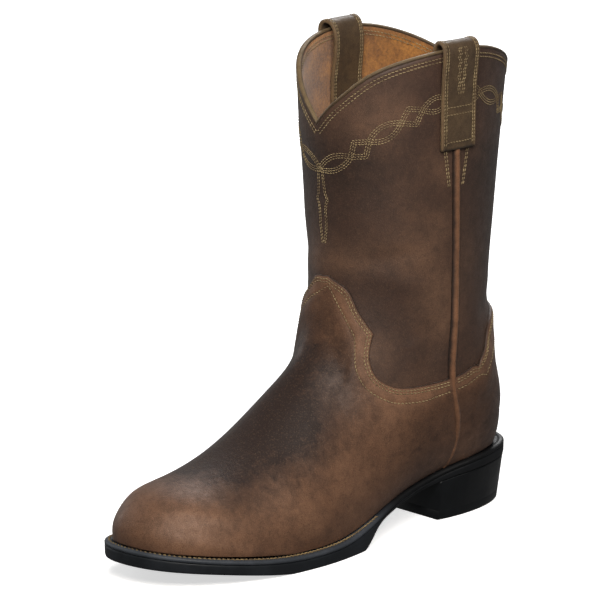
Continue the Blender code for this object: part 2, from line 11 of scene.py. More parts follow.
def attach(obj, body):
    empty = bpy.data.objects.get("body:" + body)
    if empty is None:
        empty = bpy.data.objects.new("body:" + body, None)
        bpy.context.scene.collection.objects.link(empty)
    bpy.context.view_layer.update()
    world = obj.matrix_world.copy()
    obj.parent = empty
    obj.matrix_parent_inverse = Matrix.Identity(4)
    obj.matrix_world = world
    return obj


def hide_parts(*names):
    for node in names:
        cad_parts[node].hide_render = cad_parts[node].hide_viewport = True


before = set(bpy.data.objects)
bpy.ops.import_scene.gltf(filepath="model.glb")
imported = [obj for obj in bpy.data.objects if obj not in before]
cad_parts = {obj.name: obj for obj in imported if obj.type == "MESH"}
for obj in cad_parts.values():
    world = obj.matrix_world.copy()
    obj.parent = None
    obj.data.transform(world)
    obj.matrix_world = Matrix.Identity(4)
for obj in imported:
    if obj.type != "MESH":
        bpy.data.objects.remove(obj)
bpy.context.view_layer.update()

# The studio: a white paper sweep, a long lens at standing height, and soft boxes.
# The key box stands just over the camera, a second one beside it, and two more light the far
# side. The paper lends the boot no bounced light and no reflection, so black rubber stays dark.
MM = 0.001
CAMERA_AZIMUTH = math.radians(47.78)
CAMERA_HEIGHT = math.radians(13.88)
CAMERA_ROLL = math.radians(-0.60)
CAMERA_DISTANCE = 2861.5
FOCAL_PIXELS = 4832.0
FRAME_PIXELS = 600
AIM = Vector((0.0, -74.5, 142.5))
AIM_PIXEL = (349.86, 293.26)
PAPER = "#fbfbfb"
PAPER_GLOW = 0.62
SKY_STRENGTH = 0.16
FLOOR_REACH = 40
DOME_RADIUS = 30
DOME_ROWS = 12
DOME_AROUND = 24


def linear(code):
    """A linear colour with alpha, from an sRGB hex code."""
    parts = [int(code[i:i + 2], 16) / 255 for i in (1, 3, 5)]
    return [c / 12.92 if c < 0.04045 else ((c + 0.055) / 1.055) ** 2.4 for c in parts] + [1.0]


def add_node(tree, kind, inputs=None, **settings):
    """Adds a node, sets its own settings, and links or sets its inputs by name or number."""
    made = tree.nodes.new(kind)
    for name, value in settings.items():
        setattr(made, name, value)
    for socket, value in (inputs or {}).items():
        if isinstance(value, bpy.types.NodeSocket):
            tree.links.new(value, made.inputs[socket])
        else:
            made.inputs[socket].default_value = value
    return made


back = Vector((math.sin(CAMERA_AZIMUTH) * math.cos(CAMERA_HEIGHT),
               -math.cos(CAMERA_AZIMUTH) * math.cos(CAMERA_HEIGHT), math.sin(CAMERA_HEIGHT)))
right = Vector((math.cos(CAMERA_AZIMUTH), math.sin(CAMERA_AZIMUTH), 0.0))
level = back.cross(right)
across = right * math.cos(CAMERA_ROLL) + level * math.sin(CAMERA_ROLL)
upward = level * math.cos(CAMERA_ROLL) - right * math.sin(CAMERA_ROLL)
away = back * FOCAL_PIXELS - across * (FRAME_PIXELS / 2 - AIM_PIXEL[0])
away = (away + upward * (FRAME_PIXELS / 2 - AIM_PIXEL[1])).normalized()
sideways = upward.cross(away).normalized()
lens = bpy.data.cameras.new("camera")
lens.sensor_width = 36.0
lens.lens = FOCAL_PIXELS / FRAME_PIXELS * lens.sensor_width
lens.clip_end = 100.0
camera = bpy.data.objects.new("camera", lens)
bpy.context.scene.collection.objects.link(camera)
turn = Matrix((sideways, away.cross(sideways), away)).transposed().to_4x4()
camera.matrix_world = Matrix.Translation((AIM + back * CAMERA_DISTANCE) * MM) @ turn
bpy.context.scene.camera = camera


def new_material(name, **settings):
    """A material with its node tree and surface shader, some of the shader's inputs set."""
    material = bpy.data.materials.new(name)
    material.use_nodes = True
    shader = material.node_tree.nodes["Principled BSDF"]
    for key, value in settings.items():
        shader.inputs[key.replace("_", " ")].default_value = value
    return material, material.node_tree, shader


def backdrop(name, points, faces, material):
    """A stage object that the boot neither reflects nor takes light from."""
    mesh = bpy.data.meshes.new(name)
    mesh.from_pydata(points, [], faces)
    mesh.materials.append(material)
    made = bpy.data.objects.new(name, mesh)
    made.visible_diffuse = False
    made.visible_glossy = False
    bpy.context.scene.collection.objects.link(made)
    return made


paper = new_material("matt_white_paper", Base_Color=linear(PAPER), Roughness=0.95,
                     Emission_Color=linear("#ffffff"), Emission_Strength=PAPER_GLOW)[0]
floor_corners = [(x * FLOOR_REACH, y * FLOOR_REACH, 0) for x, y in ((-1, -1), (1, -1), (1, 1), (-1, 1))]
backdrop("paper_sweep", floor_corners, [(0, 1, 2, 3)], paper)

# soft boxes: name, azimuth, height in degrees, distance m, size m, power W, colour
SOFT_BOXES = [
    ("key_box", 42.0, 37.0, 1.5, (0.45, 0.6), 13.0, "#fffaf2"),
    ("side_box", 68.0, 36.0, 1.6, (0.35, 0.7), 12.0, "#fffaf4"),
    ("rear_box", 215.0, 36.0, 1.8, (0.6, 0.9), 17.0, "#ffffff"),
    ("far_box", 285.0, 16.0, 1.8, (0.5, 0.9), 6.0, "#ffffff"),
    ("top_box", 60.0, 78.0, 1.4, (0.6, 0.6), 1.0, "#ffffff"),
]
for name, azimuth, height, distance, size, power, colour in SOFT_BOXES:
    light = bpy.data.lights.new(name, "AREA")
    light.shape = "RECTANGLE"
    light.size, light.size_y = size
    light.energy = power
    light.color = linear(colour)[:3]
    box = bpy.data.objects.new(name, light)
    a, e = math.radians(azimuth), math.radians(height)
    toward = Vector((math.sin(a) * math.cos(e), -math.cos(a) * math.cos(e), math.sin(e)))
    box.location = AIM * MM + toward * distance
    box.rotation_mode = "QUATERNION"
    box.rotation_quaternion = toward.to_track_quat("Z", "Y")
    bpy.context.scene.collection.objects.link(box)
sky = bpy.data.worlds.new("studio")
sky.use_nodes = True
sky.node_tree.nodes["Background"].inputs["Color"].default_value = linear("#ffffff")
sky.node_tree.nodes["Background"].inputs["Strength"].default_value = SKY_STRENGTH
bpy.context.scene.world = sky
# a white dome behind everything, which only the camera sees
dome_points = [(DOME_RADIUS * math.sin(u) * math.cos(v), DOME_RADIUS * math.cos(u) * math.cos(v),
                DOME_RADIUS * math.sin(v)) for v in np.linspace(-0.05, 1.5, DOME_ROWS)
               for u in np.linspace(0, 2 * np.pi, DOME_AROUND, False)]
dome_faces = []
for start in range(0, DOME_AROUND * (DOME_ROWS - 1), DOME_AROUND):
    for k in range(DOME_AROUND):
        beside = (k + 1) % DOME_AROUND
        dome_faces.append((start + k, start + beside, start + DOME_AROUND + beside,
                           start + DOME_AROUND + k))
dome_faces.append(tuple(range(DOME_AROUND * (DOME_ROWS - 1), DOME_AROUND * DOME_ROWS)))
dome_light = new_material("lit_white_dome", Base_Color=linear("#000000"), Specular_IOR_Level=0.0,
                          Emission_Color=linear("#ffffff"), Emission_Strength=1.0)[0]
dome = backdrop("white_dome", dome_points, dome_faces, dome_light)
dome.visible_transmission = False
dome.visible_shadow = False
bpy.context.scene.view_settings.view_transform = "Standard"

# The shaft: two panels of oiled leather, closed down both sides, cut to a scallop at the rim.
# It is drawn over the last, a ladder of cross-sections hinged from heel and sole to the front.
# The leather is 1.2 mm, and its foot runs on under the vamp and the counter.
LAST_LENGTH = 277.5
HEEL_ROUND = 42.0
BALL_LINE = 194.0
TOE_CENTRE = -5.7
HEEL_TURN = 12
ORIGIN_S = 30.0
SHAFT_LEATHER = 1.2

# feather line, where upper meets sole: s, height, outer half width, inner half width
FEATHER = [
    (0.0, 39.0, 0.0, 0.0),
    (42.0, 35.9, 34.2, 32.6),
    (66.5, 30.8, 30.6, 29.5),
    (95.0, 24.3, 32.2, 26.2),
    (123.5, 17.0, 38.6, 26.8),
    (152.0, 11.2, 44.6, 31.6),
    (173.0, 10.0, 46.8, 38.6),
    (194.0, 10.4, 46.6, 43.2),
    (237.5, 16.0, 0.0, 0.0),
    (277.5, 22.4, 0.0, 0.0),
]
# cross-sections, toe to rim: name, front s, front z, back s, back z (None: on the feather
# line), outer half width, inner half width, ridge x, widest fraction, power over, power under
ROWS = [
    ("toe_edge", 277.5, 22.4, 193.8, None, 46.6, 43.2, -5.7, 0.00, 2.25, 2.0),
    ("toe_wall", 277.4, 31.0, 191.9, None, 46.9, 43.6, -5.7, 0.02, 2.25, 2.0),
    ("toe_cap", 272.6, 39.9, 189.0, None, 46.7, 44.2, -5.7, 0.05, 2.20, 2.0),
    ("toe_top", 259.3, 49.3, 184.3, None, 46.6, 44.2, -5.7, 0.09, 2.20, 2.0),
    ("vamp_fore", 236.0, 54.1, 177.7, None, 46.5, 43.2, -6.6, 0.14, 2.15, 2.0),
    ("vamp_ball", 209.4, 61.8, 167.2, None, 47.4, 41.4, -7.4, 0.19, 2.05, 2.0),
    ("vamp_mid", 183.6, 75.2, 152.0, None, 46.0, 38.7, -7.6, 0.22, 1.95, 2.0),
    ("instep_low", 158.8, 92.0, 131.1, None, 43.0, 36.8, -7.4, 0.24, 1.90, 2.0),
    ("instep", 138.0, 109.2, 104.5, None, 40.6, 37.2, -6.4, 0.26, 1.90, 2.0),
    ("throat_low", 129.6, 131.4, 74.1, None, 42.4, 40.8, -4.8, 0.30, 1.90, 2.0),
    ("throat", 126.0, 150.6, 39.9, None, 45.6, 44.6, -2.8, 0.35, 1.90, 2.0),
    ("heel_low", 125.4, 165.4, 10.5, None, 48.2, 47.4, -1.6, 0.40, 1.95, 2.0),
    ("heel_turn", 124.8, 176.7, -1.2, 55.0, 49.2, 48.8, -0.6, 0.45, 2.0, 2.0),
    ("ankle_low", 124.8, 186.4, 2.6, 83.6, 48.6, 48.6, 0.0, 0.48, 2.0, 2.0),
    ("ankle", 125.4, 197.2, 6.6, 114.0, 48.2, 48.6, 0.0, 0.5, 2.0, 2.0),
    ("shaft_low", 126.4, 211.9, 6.4, 144.4, 48.4, 48.8, 0.0, 0.5, 2.0, 2.0),
    ("shaft_mid", 128.4, 237.0, 1.4, 185.2, 49.4, 49.6, 0.0, 0.5, 2.0, 2.0),
    ("shaft_high", 130.3, 267.8, -4.6, 232.8, 50.6, 50.8, 0.0, 0.5, 2.0, 2.0),
    ("collar", 130.4, 302.2, -10.8, 285.0, 51.9, 52.0, 0.0, 0.5, 2.0, 2.0),
    ("over", 129.4, 327.9, -13.0, 327.8, 52.9, 52.9, 0.0, 0.5, 2.0, 2.0),
]
# scalloped rim of the outer half, back centre to front centre: fraction across, height
RIM = [
    (0.00, 249.5), (0.03, 258.0), (0.06, 266.0), (0.09, 272.8), (0.12, 278.4), (0.16, 284.2),
    (0.20, 288.2), (0.25, 290.2), (0.30, 289.6), (0.344, 287.0), (0.39, 281.6), (0.417, 276.0),
    (0.444, 268.0), (0.472, 259.0), (0.50, 248.0),
]
# foot of the shaft leather, hidden under vamp and counter: row, across the outer half; rim across
SHAFT_FOOT = [
    (13.55, 0.000, 0.000), (13.10, 0.060, 0.055), (12.50, 0.125, 0.110), (11.50, 0.180, 0.165),
    (10.10, 0.200, 0.235), (9.20, 0.230, 0.275), (8.70, 0.270, 0.315), (8.55, 0.310, 0.350),
    (8.65, 0.350, 0.385), (8.95, 0.385, 0.410), (9.35, 0.430, 0.445), (9.75, 0.470, 0.475),
    (9.90, 0.500, 0.500),
]


def spline(knots, values):
    """A natural cubic spline through the values."""
    x = np.asarray(knots, float)
    y = np.asarray(values, float)
    count = len(x)
    gap = np.diff(x)
    left = np.zeros((count, count))
    right_side = np.zeros((count,) + y.shape[1:])
    left[0, 0] = 1
    left[-1, -1] = 1
    for i in range(1, count - 1):
        left[i, i - 1] = gap[i - 1]
        left[i, i] = 2 * (gap[i - 1] + gap[i])
        left[i, i + 1] = gap[i]
        right_side[i] = 6 * ((y[i + 1] - y[i]) / gap[i] - (y[i] - y[i - 1]) / gap[i - 1])
    bend = np.linalg.solve(left, right_side)

    def at(t):
        t = np.atleast_1d(np.asarray(t, float))
        i = np.clip(np.searchsorted(x, t, side="right") - 1, 0, count - 2)
        h = gap[i]
        b = t - x[i]
        a = h - b
        if y.ndim > 1:
            a, b, h = a[:, None], b[:, None], h[:, None]
        curve = (bend[i] * a**3 + bend[i + 1] * b**3) / (6 * h)
        return curve + (y[i] / h - bend[i] * h / 6) * a + (y[i + 1] / h - bend[i + 1] * h / 6) * b

    return at


def unit(vectors):
    return vectors / np.maximum(np.linalg.norm(vectors, axis=-1, keepdims=True), 1e-9)


feather_curve = spline([row[0] for row in FEATHER], [row[1] for row in FEATHER])
side_rows = [row for row in FEATHER if row[2] > 0]
side_curves = [spline([row[0] for row in side_rows], [row[c] for row in side_rows]) for c in (2, 3)]


def feather_z(s):
    """Height of the feather line over the floor."""
    return feather_curve(np.clip(s, -8.0, LAST_LENGTH + 8.0))


def feather_widths(s):
    """Outer and inner half widths of the feather line: a round heel, the sides, a round toe."""
    s = np.atleast_1d(np.asarray(s, float))
    found = []
    for curve, first, last in zip(side_curves, side_rows[0][2:], side_rows[-1][2:]):
        width = curve(np.clip(s, HEEL_ROUND, BALL_LINE))
        heel = np.clip((HEEL_ROUND - s) / HEEL_ROUND, 0, 1)
        toe = np.clip((s - BALL_LINE) / (LAST_LENGTH - BALL_LINE), 0, 1)
        width = np.where(s < HEEL_ROUND, first * (1 - heel**2.2) ** (1 / 2.2), width)
        centre = TOE_CENTRE if not found else -TOE_CENTRE
        round_toe = centre + (last - centre) * (1 - toe**2.25) ** (1 / 2.25)
        found.append(np.where(s > BALL_LINE, round_toe, width))
    return found


row_table = []
for _, front_s, front_z, back_s, back_z, *rest in ROWS:
    foot_z = float(feather_z(back_s)[0]) if back_z is None else back_z
    row_table.append([front_s, front_z, back_s, foot_z, *rest])
row_curve = spline(np.arange(len(ROWS)), np.array(row_table))
row_steps = np.linspace(0, HEEL_TURN, 2401)
T_HEEL = float(row_steps[np.argmax(row_curve(row_steps)[:, 2] < 0)])


def section(t, count=120, dense=200):
    """One cross-section, from the outer foot over the ridge to the inner foot."""
    front_s, front_z, back_s, back_z, outer, inner, ridge, widest, over, under = row_curve(t)[0]
    feet = feather_widths(max(back_s, 0.0))
    halves = []
    for sign, width, foot in ((1, outer, feet[0][0]), (-1, inner, feet[1][0])):
        rise = np.zeros(0)
        reach = np.zeros(0)
        if widest > 1e-6:
            foot = 0.0 if t >= T_HEEL else min(foot, width - 1e-3)
            lean = np.arccos(np.clip((foot / width) ** (under / 2), 0, 1))
            angle = np.linspace(lean, 0, dense)
            rise = widest * (1 - np.sin(angle) ** (2 / under) / np.sin(lean) ** (2 / under))
            reach = width * np.cos(angle) ** (2 / under)
        angle = np.linspace(0, np.pi / 2, dense)[min(len(rise), 1):]
        top = ridge * sign
        rise = np.append(rise, widest + (1 - widest) * np.sin(angle) ** (2 / over))
        reach = np.append(reach, top + (width - top) * np.abs(np.cos(angle)) ** (2 / over))
        line = np.stack([reach * sign, back_s + (front_s - back_s) * rise,
                         back_z + (front_z - back_z) * rise], 1)
        run = np.append(0, np.cumsum(np.linalg.norm(np.diff(line, axis=0), axis=1)))
        even = np.linspace(0, run[-1], count + 1)
        halves.append(np.stack([np.interp(even, run, line[:, k]) for k in range(3)], 1))
    return np.concatenate([halves[0], halves[1][::-1][1:]])


T_STEP = 0.04
T_ALL = np.arange(0, len(ROWS) - 1 + T_STEP / 2, T_STEP)
LATTICE = np.array([section(t) for t in T_ALL])
NORMALS = unit(np.cross(np.gradient(LATTICE, axis=1), np.gradient(LATTICE, axis=0)))


def cubic_weights(f):
    """Smooth weights of the four samples round a fraction."""
    return np.stack([-f + 2 * f**2 - f**3, 2 - 5 * f**2 + 3 * f**3,
                     f + 4 * f**2 - 3 * f**3, -f**2 + f**3], -1) / 2


def sample(lattice, t, w):
    """Smooth values of a lattice at row t and fraction w across."""
    t, w = np.broadcast_arrays(np.asarray(t, float), np.asarray(w, float))
    row = np.clip(t / T_STEP, 0, len(T_ALL) - 1.001)
    column = np.clip(w, 0, 1) * (lattice.shape[1] - 1.001)
    i, j = row.astype(int), column.astype(int)
    row_weights, column_weights = cubic_weights(row - i), cubic_weights(column - j)
    total = 0
    for a in range(4):
        for b in range(4):
            values = lattice[np.clip(i + a - 1, 0, lattice.shape[0] - 1),
                             np.clip(j + b - 1, 0, lattice.shape[1] - 1)]
            total = total + values * (row_weights[..., a] * column_weights[..., b])[..., None]
    return total


def skin(t, w, out=0.0):
    """Points of the upper's outer face, moved out along its normal."""
    return sample(LATTICE, t, w) + unit(sample(NORMALS, t, w)) * np.asarray(out)[..., None]


# by height, a first guess at the row and the fraction across of a place near the side seam
ROW_GUESS = ([31.0, 90.0, 200.0, 300.0], [9.6, 10.7, 15.5, 17.9])
ACROSS_GUESS = ([31.0, 60.0, 90.0, 200.0], [0.01, 0.12, 0.20, 0.26])


def place(side, s, z):
    """(t, w) of the outer face where it passes through s and z on one side of the boot, found
    from a guess by short steps along the face."""
    s, z = np.broadcast_arrays(np.asarray(s, float), np.asarray(z, float))
    t = np.interp(z, *ROW_GUESS)
    w = np.interp(z, *ACROSS_GUESS)
    w = w if side > 0 else 1 - w
    for _ in range(25):
        here = sample(LATTICE, t, w)[..., 1:]
        by_row = (sample(LATTICE, t + 0.05, w)[..., 1:] - here) / 0.05
        by_width = (sample(LATTICE, t, w + 0.005)[..., 1:] - here) / 0.005
        miss = np.stack([s, z], -1) - here
        area = by_row[..., 0] * by_width[..., 1] - by_row[..., 1] * by_width[..., 0]
        area = np.where(np.abs(area) < 1e-6, 1e-6, area)
        step_t = (miss[..., 0] * by_width[..., 1] - miss[..., 1] * by_width[..., 0]) / area
        step_w = (by_row[..., 0] * miss[..., 1] - by_row[..., 1] * miss[..., 0]) / area
        t = np.clip(t + np.clip(step_t, -0.6, 0.6), 0, 18.9)
        w = np.clip(w + np.clip(step_w, -0.03, 0.03), 0.0005, 0.9995)
    return t, w


def row_at(w, z):
    """The row at which the skin has height z, for a fraction w across."""
    rows = np.linspace(12, 18.95, 500)
    fractions, heights = np.broadcast_arrays(np.asarray(w, float), np.asarray(z, float))
    found = []
    for fraction, height in zip(fractions.ravel(), heights.ravel()):
        found.append(np.interp(height, sample(LATTICE, rows, np.full(500, fraction))[:, 2], rows))
    return np.array(found).reshape(fractions.shape)


rim_curve = spline(*zip(*RIM))


def rim_z(w):
    """Height of the scalloped rim."""
    half = np.minimum(w, 1 - np.asarray(w))
    return rim_curve(np.ravel(half)).reshape(np.shape(half))


def piece(name, node, points, faces, material, flags=None):
    """A piece of the boot riding on its one body, in place of a node unless that is None. Points
    are (x, s, z) in millimetres, and a face has three or four corners."""
    world = np.array(points, float).reshape(-1, 3)
    world[:, 1] = ORIGIN_S - world[:, 1]
    faces = [[int(corner) for corner in face] for face in faces]
    fans = np.array([(face[0], face[k], face[k + 1])
                     for face in faces for k in range(1, len(face) - 1)])
    a, b, c = (world[fans[:, k]] for k in range(3))
    mesh = bpy.data.meshes.new(name)
    mesh.from_pydata((world * MM).tolist(), [], faces)
    mesh.validate()
    if np.einsum("ij,ij->i", a, np.cross(b, c)).sum() < 0:
        mesh.flip_normals()
    mesh.shade_smooth()
    for key, values in (flags or {}).items():
        full = np.zeros(len(world), np.float32)
        full[:np.size(values)] = np.ravel(values)
        mesh.attributes.new(key, "FLOAT", "POINT").data.foreach_set("value", full)
    mesh.materials.append(material)
    made = bpy.data.objects.new(name, mesh)
    bpy.context.scene.collection.objects.link(made)
    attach(made, "root")
    if node:
        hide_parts(node)


def shell(name, node, top, under, closed, material, flags=None):
    """A closed skin between two grids of points, each (columns, rows, 3)."""
    columns, rows = top.shape[:2]
    number = np.arange(columns * rows).reshape(columns, rows)
    ahead = np.roll(number, -1, 0) if closed else number[1:]
    here = number if closed else number[:-1]
    top_faces = np.stack([here[:, :-1], ahead[:, :-1], ahead[:, 1:], here[:, 1:]], -1).reshape(-1, 4)
    low = columns * rows
    faces = [top_faces, top_faces[:, ::-1] + low]
    faces.append(np.stack([ahead[:, 0], here[:, 0], here[:, 0] + low, ahead[:, 0] + low], -1))
    faces.append(np.stack([here[:, -1], ahead[:, -1], ahead[:, -1] + low, here[:, -1] + low], -1))
    if not closed:
        for line, order in ((number[0], (0, 1, 2, 3)), (number[-1], (3, 2, 1, 0))):
            sides = (line[:-1], line[1:], line[1:] + low, line[:-1] + low)
            faces.append(np.stack([sides[k] for k in order], -1))
    points = np.concatenate([top.reshape(-1, 3), under.reshape(-1, 3)])
    doubled = {key: np.concatenate([np.ravel(v), np.ravel(v)]) for key, v in (flags or {}).items()}
    piece(name, node, points, np.concatenate(faces), material, doubled)


# shallow creases that standing and boxing left in the leather, pressed in (-) or out (+):
# side, s, z of one end, s, z of the other, width, depth
CREASES = [
    (1, 116.0, 168.0, 92.0, 172.0, 5.0, -0.55),
    (1, 112.0, 158.0, 84.0, 150.0, 6.0, 0.5),
    (-1, 116.0, 168.0, 90.0, 170.0, 5.0, -0.6),
    (-1, 112.0, 155.0, 82.0, 150.0, 6.0, 0.5),
    (1, 84.0, 128.0, 76.0, 108.0, 6.0, -0.8),
    (1, 92.0, 118.0, 88.0, 104.0, 5.0, 0.5),
    (1, 40.0, 126.0, 16.0, 134.0, 6.0, -0.9),
    (1, 34.0, 116.0, 12.0, 120.0, 5.0, 0.6),
    (-1, 40.0, 128.0, 14.0, 134.0, 6.0, -0.9),
    (-1, 80.0, 126.0, 72.0, 106.0, 6.0, -0.7),
    (1, 124.0, 96.0, 108.0, 74.0, 9.0, -0.7),
    (-1, 124.0, 96.0, 106.0, 74.0, 9.0, -0.7),
    (1, 176.0, 60.0, 164.0, 34.0, 10.0, -0.35),
    (-1, 178.0, 60.0, 160.0, 34.0, 10.0, -0.35),
    (1, 190.0, 60.0, 184.0, 36.0, 8.0, 0.3),
]
SWELL = 0.35
SWELL_SIZE = 38.0


def relief(points):
    """How far the leather's own creases and swells move each point, in mm."""
    flat = points.reshape(-1, 3)
    moved = np.zeros(len(flat))
    for side, s0, z0, s1, z1, width, depth in CREASES:
        on_side = 1 / (1 + np.exp(-flat[:, 0] * side / 4.0))
        start, run = np.array([s0, z0]), np.array([s1 - s0, z1 - z0])
        k = np.clip((flat[:, 1:] - start) @ run / (run @ run), -0.3, 1.3)
        gone = np.linalg.norm(flat[:, 1:] - start - k[:, None] * run, axis=1)
        fade = np.exp(-((k - 0.5) / 0.55) ** 4)
        moved += depth * np.exp(-((gone / width) ** 2)) * fade * on_side
    swell = [noise.noise(Vector(p) / SWELL_SIZE) for p in flat]
    return (moved + SWELL * np.array(swell)).reshape(points.shape[:-1])


# darkened places on the leather, part burnish and part painted shade on the vamp's ridge, its far
# side and the heel: side, s, z, reach along and up, strength
BURNISH_AND_PAINTED_SHADE = [
    (0, 165.5, 94.0, 34.0, 0.9), (0, 196.0, 72.0, 30.0, 0.85), (0, 224.0, 60.0, 24.0, 0.6),
    (0, 140.0, 112.0, 20.0, 0.6), (1, 165.0, 76.0, 16.0, 0.45), (-1, 160.0, 60.0, 40.0, 0.7),
    (-1, 215.0, 36.0, 30.0, 0.6), (1, 28.0, 62.0, 24.0, 0.6), (-1, 28.0, 62.0, 24.0, 0.6),
    (0, 124.0, 225.0, 22.0, 0.5), (1, 28.0, 215.0, 24.0, 0.7), (-1, 28.0, 215.0, 24.0, 0.6),
    (1, 88.0, 52.0, 18.0, 0.45), (-1, 100.0, 230.0, 36.0, 0.4), (0, 6.0, 170.0, 30.0, 0.4),
]
# lighter, warmer places, part pull-up rubs by the seams and part painted highlights on shaft and vamp:
# side, s, z, reach along and up, strength
RUBS_AND_PAINTED_HIGHLIGHTS = [
    (1, 74.0, 190.0, 14.0, 0.6), (1, 74.0, 220.0, 13.0, 0.5), (1, 74.0, 150.0, 14.0, 0.9),
    (1, 74.0, 126.0, 14.0, 1.0), (1, 116.0, 250.0, 18.0, 0.7), (1, 100.0, 258.0, 12.0, 0.6),
    (0, 262.0, 40.0, 24.0, 0.35), (1, 246.0, 32.0, 28.0, 0.55), (1, 222.0, 36.0, 24.0, 0.35),
    (1, 186.0, 38.0, 24.0, 0.7), (1, 143.0, 50.0, 22.0, 0.7), (1, 106.0, 67.0, 20.0, 0.6),
    (1, 95.0, 172.0, 18.0, 0.9), (1, 115.0, 115.0, 12.0, 0.8), (1, 48.0, 48.0, 12.0, 0.5),
    (1, 104.0, 88.0, 16.0, 0.6),
    (1, 52.0, 165.0, 14.0, 0.45), (-1, 74.0, 150.0, 20.0, 0.8), (-1, 74.0, 210.0, 16.0, 0.5),
    (-1, 246.0, 34.0, 26.0, 0.5), (-1, 104.0, 88.0, 18.0, 0.5),
    (-1, 116.0, 250.0, 18.0, 0.6), (0, 124.0, 166.0, 10.0, 0.7),
]


def rubbed(points, table):
    """Strength of a table's patches at each point, wear together with painted light and shade; side 0
    reaches both sides.
    """
    flat = points.reshape(-1, 3)
    total = np.zeros(len(flat))
    for side, s, z, reach, strength in table:
        gone = ((flat[:, 1] - s) / reach) ** 2 + ((flat[:, 2] - z) / (reach * 0.9)) ** 2
        on_side = 1 / (1 + np.exp(-flat[:, 0] * side / 6.0)) if side else 1.0
        total += strength * np.exp(-gone) * on_side
    return np.clip(total, 0, 1.5).reshape(points.shape[:-1])


def cloudy(tree, place_at, size_mm, detail, roughness, distortion=0.0):
    """Noise whose blots are about so many millimetres across."""
    return add_node(tree, "ShaderNodeTexNoise", {
        "Vector": place_at, "Scale": 1000 / size_mm, "Detail": detail, "Roughness": roughness,
        "Distortion": distortion}).outputs["Fac"]


def ranged(tree, value, low, high, to_low=0.0, to_high=1.0):
    """A value between low and high, spread over another range and held inside it."""
    return add_node(tree, "ShaderNodeMapRange", {
        "Value": value, "From Min": low, "From Max": high, "To Min": to_low,
        "To Max": to_high}).outputs[0]


def reckoned(tree, operation, *values, clamped=False):
    """One sum on some values."""
    return add_node(tree, "ShaderNodeMath", dict(enumerate(values)), operation=operation,
                    use_clamp=clamped).outputs[0]


def mixed(tree, factor, under, over):
    """One colour laid over another."""
    return add_node(tree, "ShaderNodeMix", {"Factor": factor, 6: under, 7: over},
                    data_type="RGBA").outputs[2]


def bumped(tree, height, strength, depth_mm, **more):
    """A normal that follows a height."""
    return add_node(tree, "ShaderNodeBump", {
        "Height": height, "Strength": strength, "Distance": depth_mm * MM, **more}).outputs["Normal"]


def pull_up_leather(name, ground, dark, warm, grain_mm=0.9, dusty=0.5):
    """Oiled pull-up leather: full grain, drum-dyed, waxed, and rubbed back by hand. The oil gives
    a soft broad gloss, the grain breaks it into fine sparkle, and bends and rubs turn warmer.
    The warm tint also paints highlights, and the dark and edge tints also paint shade."""
    material, tree, shader = new_material(name, Specular_IOR_Level=0.36, Sheen_Weight=0.05,
                                          Sheen_Roughness=0.5)
    place_at = add_node(tree, "ShaderNodeTexCoord").outputs["Object"]
    cloud = cloudy(tree, place_at, 42.0, 4.0, 0.6)
    mottle = cloudy(tree, place_at, 7.0, 6.0, 0.68, 0.4)
    fleck = cloudy(tree, place_at, 0.95, 2.0, 0.6)
    pores = cloudy(tree, place_at, 2.4, 5.0, 0.62)
    grain = add_node(tree, "ShaderNodeTexVoronoi", {
        "Vector": place_at, "Scale": 1000 / grain_mm, "Randomness": 1.0},
        feature="DISTANCE_TO_EDGE").outputs["Distance"]
    dark_tone_and_shade_flag, warm_tone_and_highlight_flag, dyed_edge_and_shade_flag = [
        add_node(tree, "ShaderNodeAttribute", attribute_name=key).outputs["Fac"]
        for key in ("dark", "warm", "edge")]
    # each patch, of burnish and painted shade, and of rubs and painted highlights, is broken up
    # by the mottle before it tints the ground
    dark_tone_and_shade_mix = reckoned(tree, "SUBTRACT", mottle, 0.42)
    dark_tone_and_shade_mix = reckoned(tree, "MULTIPLY_ADD", dark_tone_and_shade_mix, 1.7, dark_tone_and_shade_flag)
    dark_tone_and_shade_mix = reckoned(tree, "MULTIPLY", dark_tone_and_shade_mix, 0.85, clamped=True)
    warm_tone_and_highlight_mix = reckoned(tree, "SUBTRACT", cloud, 0.5)
    warm_tone_and_highlight_mix = reckoned(tree, "MULTIPLY_ADD", warm_tone_and_highlight_mix, 1.6, warm_tone_and_highlight_flag, clamped=True)
    tint = mixed(tree, warm_tone_and_highlight_mix, linear(ground), linear(warm))
    tint = mixed(tree, dark_tone_and_shade_mix, tint, linear(dark))
    # pale flecks of bare grain, then the dark of its pits
    tint = mixed(tree, ranged(tree, fleck, 0.54, 0.72, 0.0, 0.13 * dusty), tint, linear("#96765a"))
    tint = mixed(tree, ranged(tree, grain, 0.0, 0.10, 0.45, 0.0), tint, linear("#1b110c"))
    # dark dyed cut edges, and on the piping painted shade along the foot of its strip
    tint = mixed(tree, dyed_edge_and_shade_flag, tint, linear("#2a1a11"))
    tree.links.new(tint, shader.inputs["Base Color"])
    tree.links.new(ranged(tree, mottle, 0.3, 0.7, 0.46, 0.66), shader.inputs["Roughness"])
    low = bumped(tree, pores, 0.5, 0.35)
    tree.links.new(bumped(tree, grain, 0.55, 0.25, Normal=low), shader.inputs["Normal"])
    return material


SHAFT_COLUMNS = 236
SHAFT_ROWS = 150
half_steps = np.linspace(0, 1, SHAFT_COLUMNS // 2 + 1)
foot_curve = spline(np.linspace(0, 1, len(SHAFT_FOOT)), np.array(SHAFT_FOOT))
half_foot = foot_curve(half_steps)
full_foot = np.concatenate([half_foot, half_foot[::-1][1:-1] * [1, -1, -1] + [0, 1, 1]])
rim_rows = row_at(full_foot[:, 2], rim_z(full_foot[:, 2]))


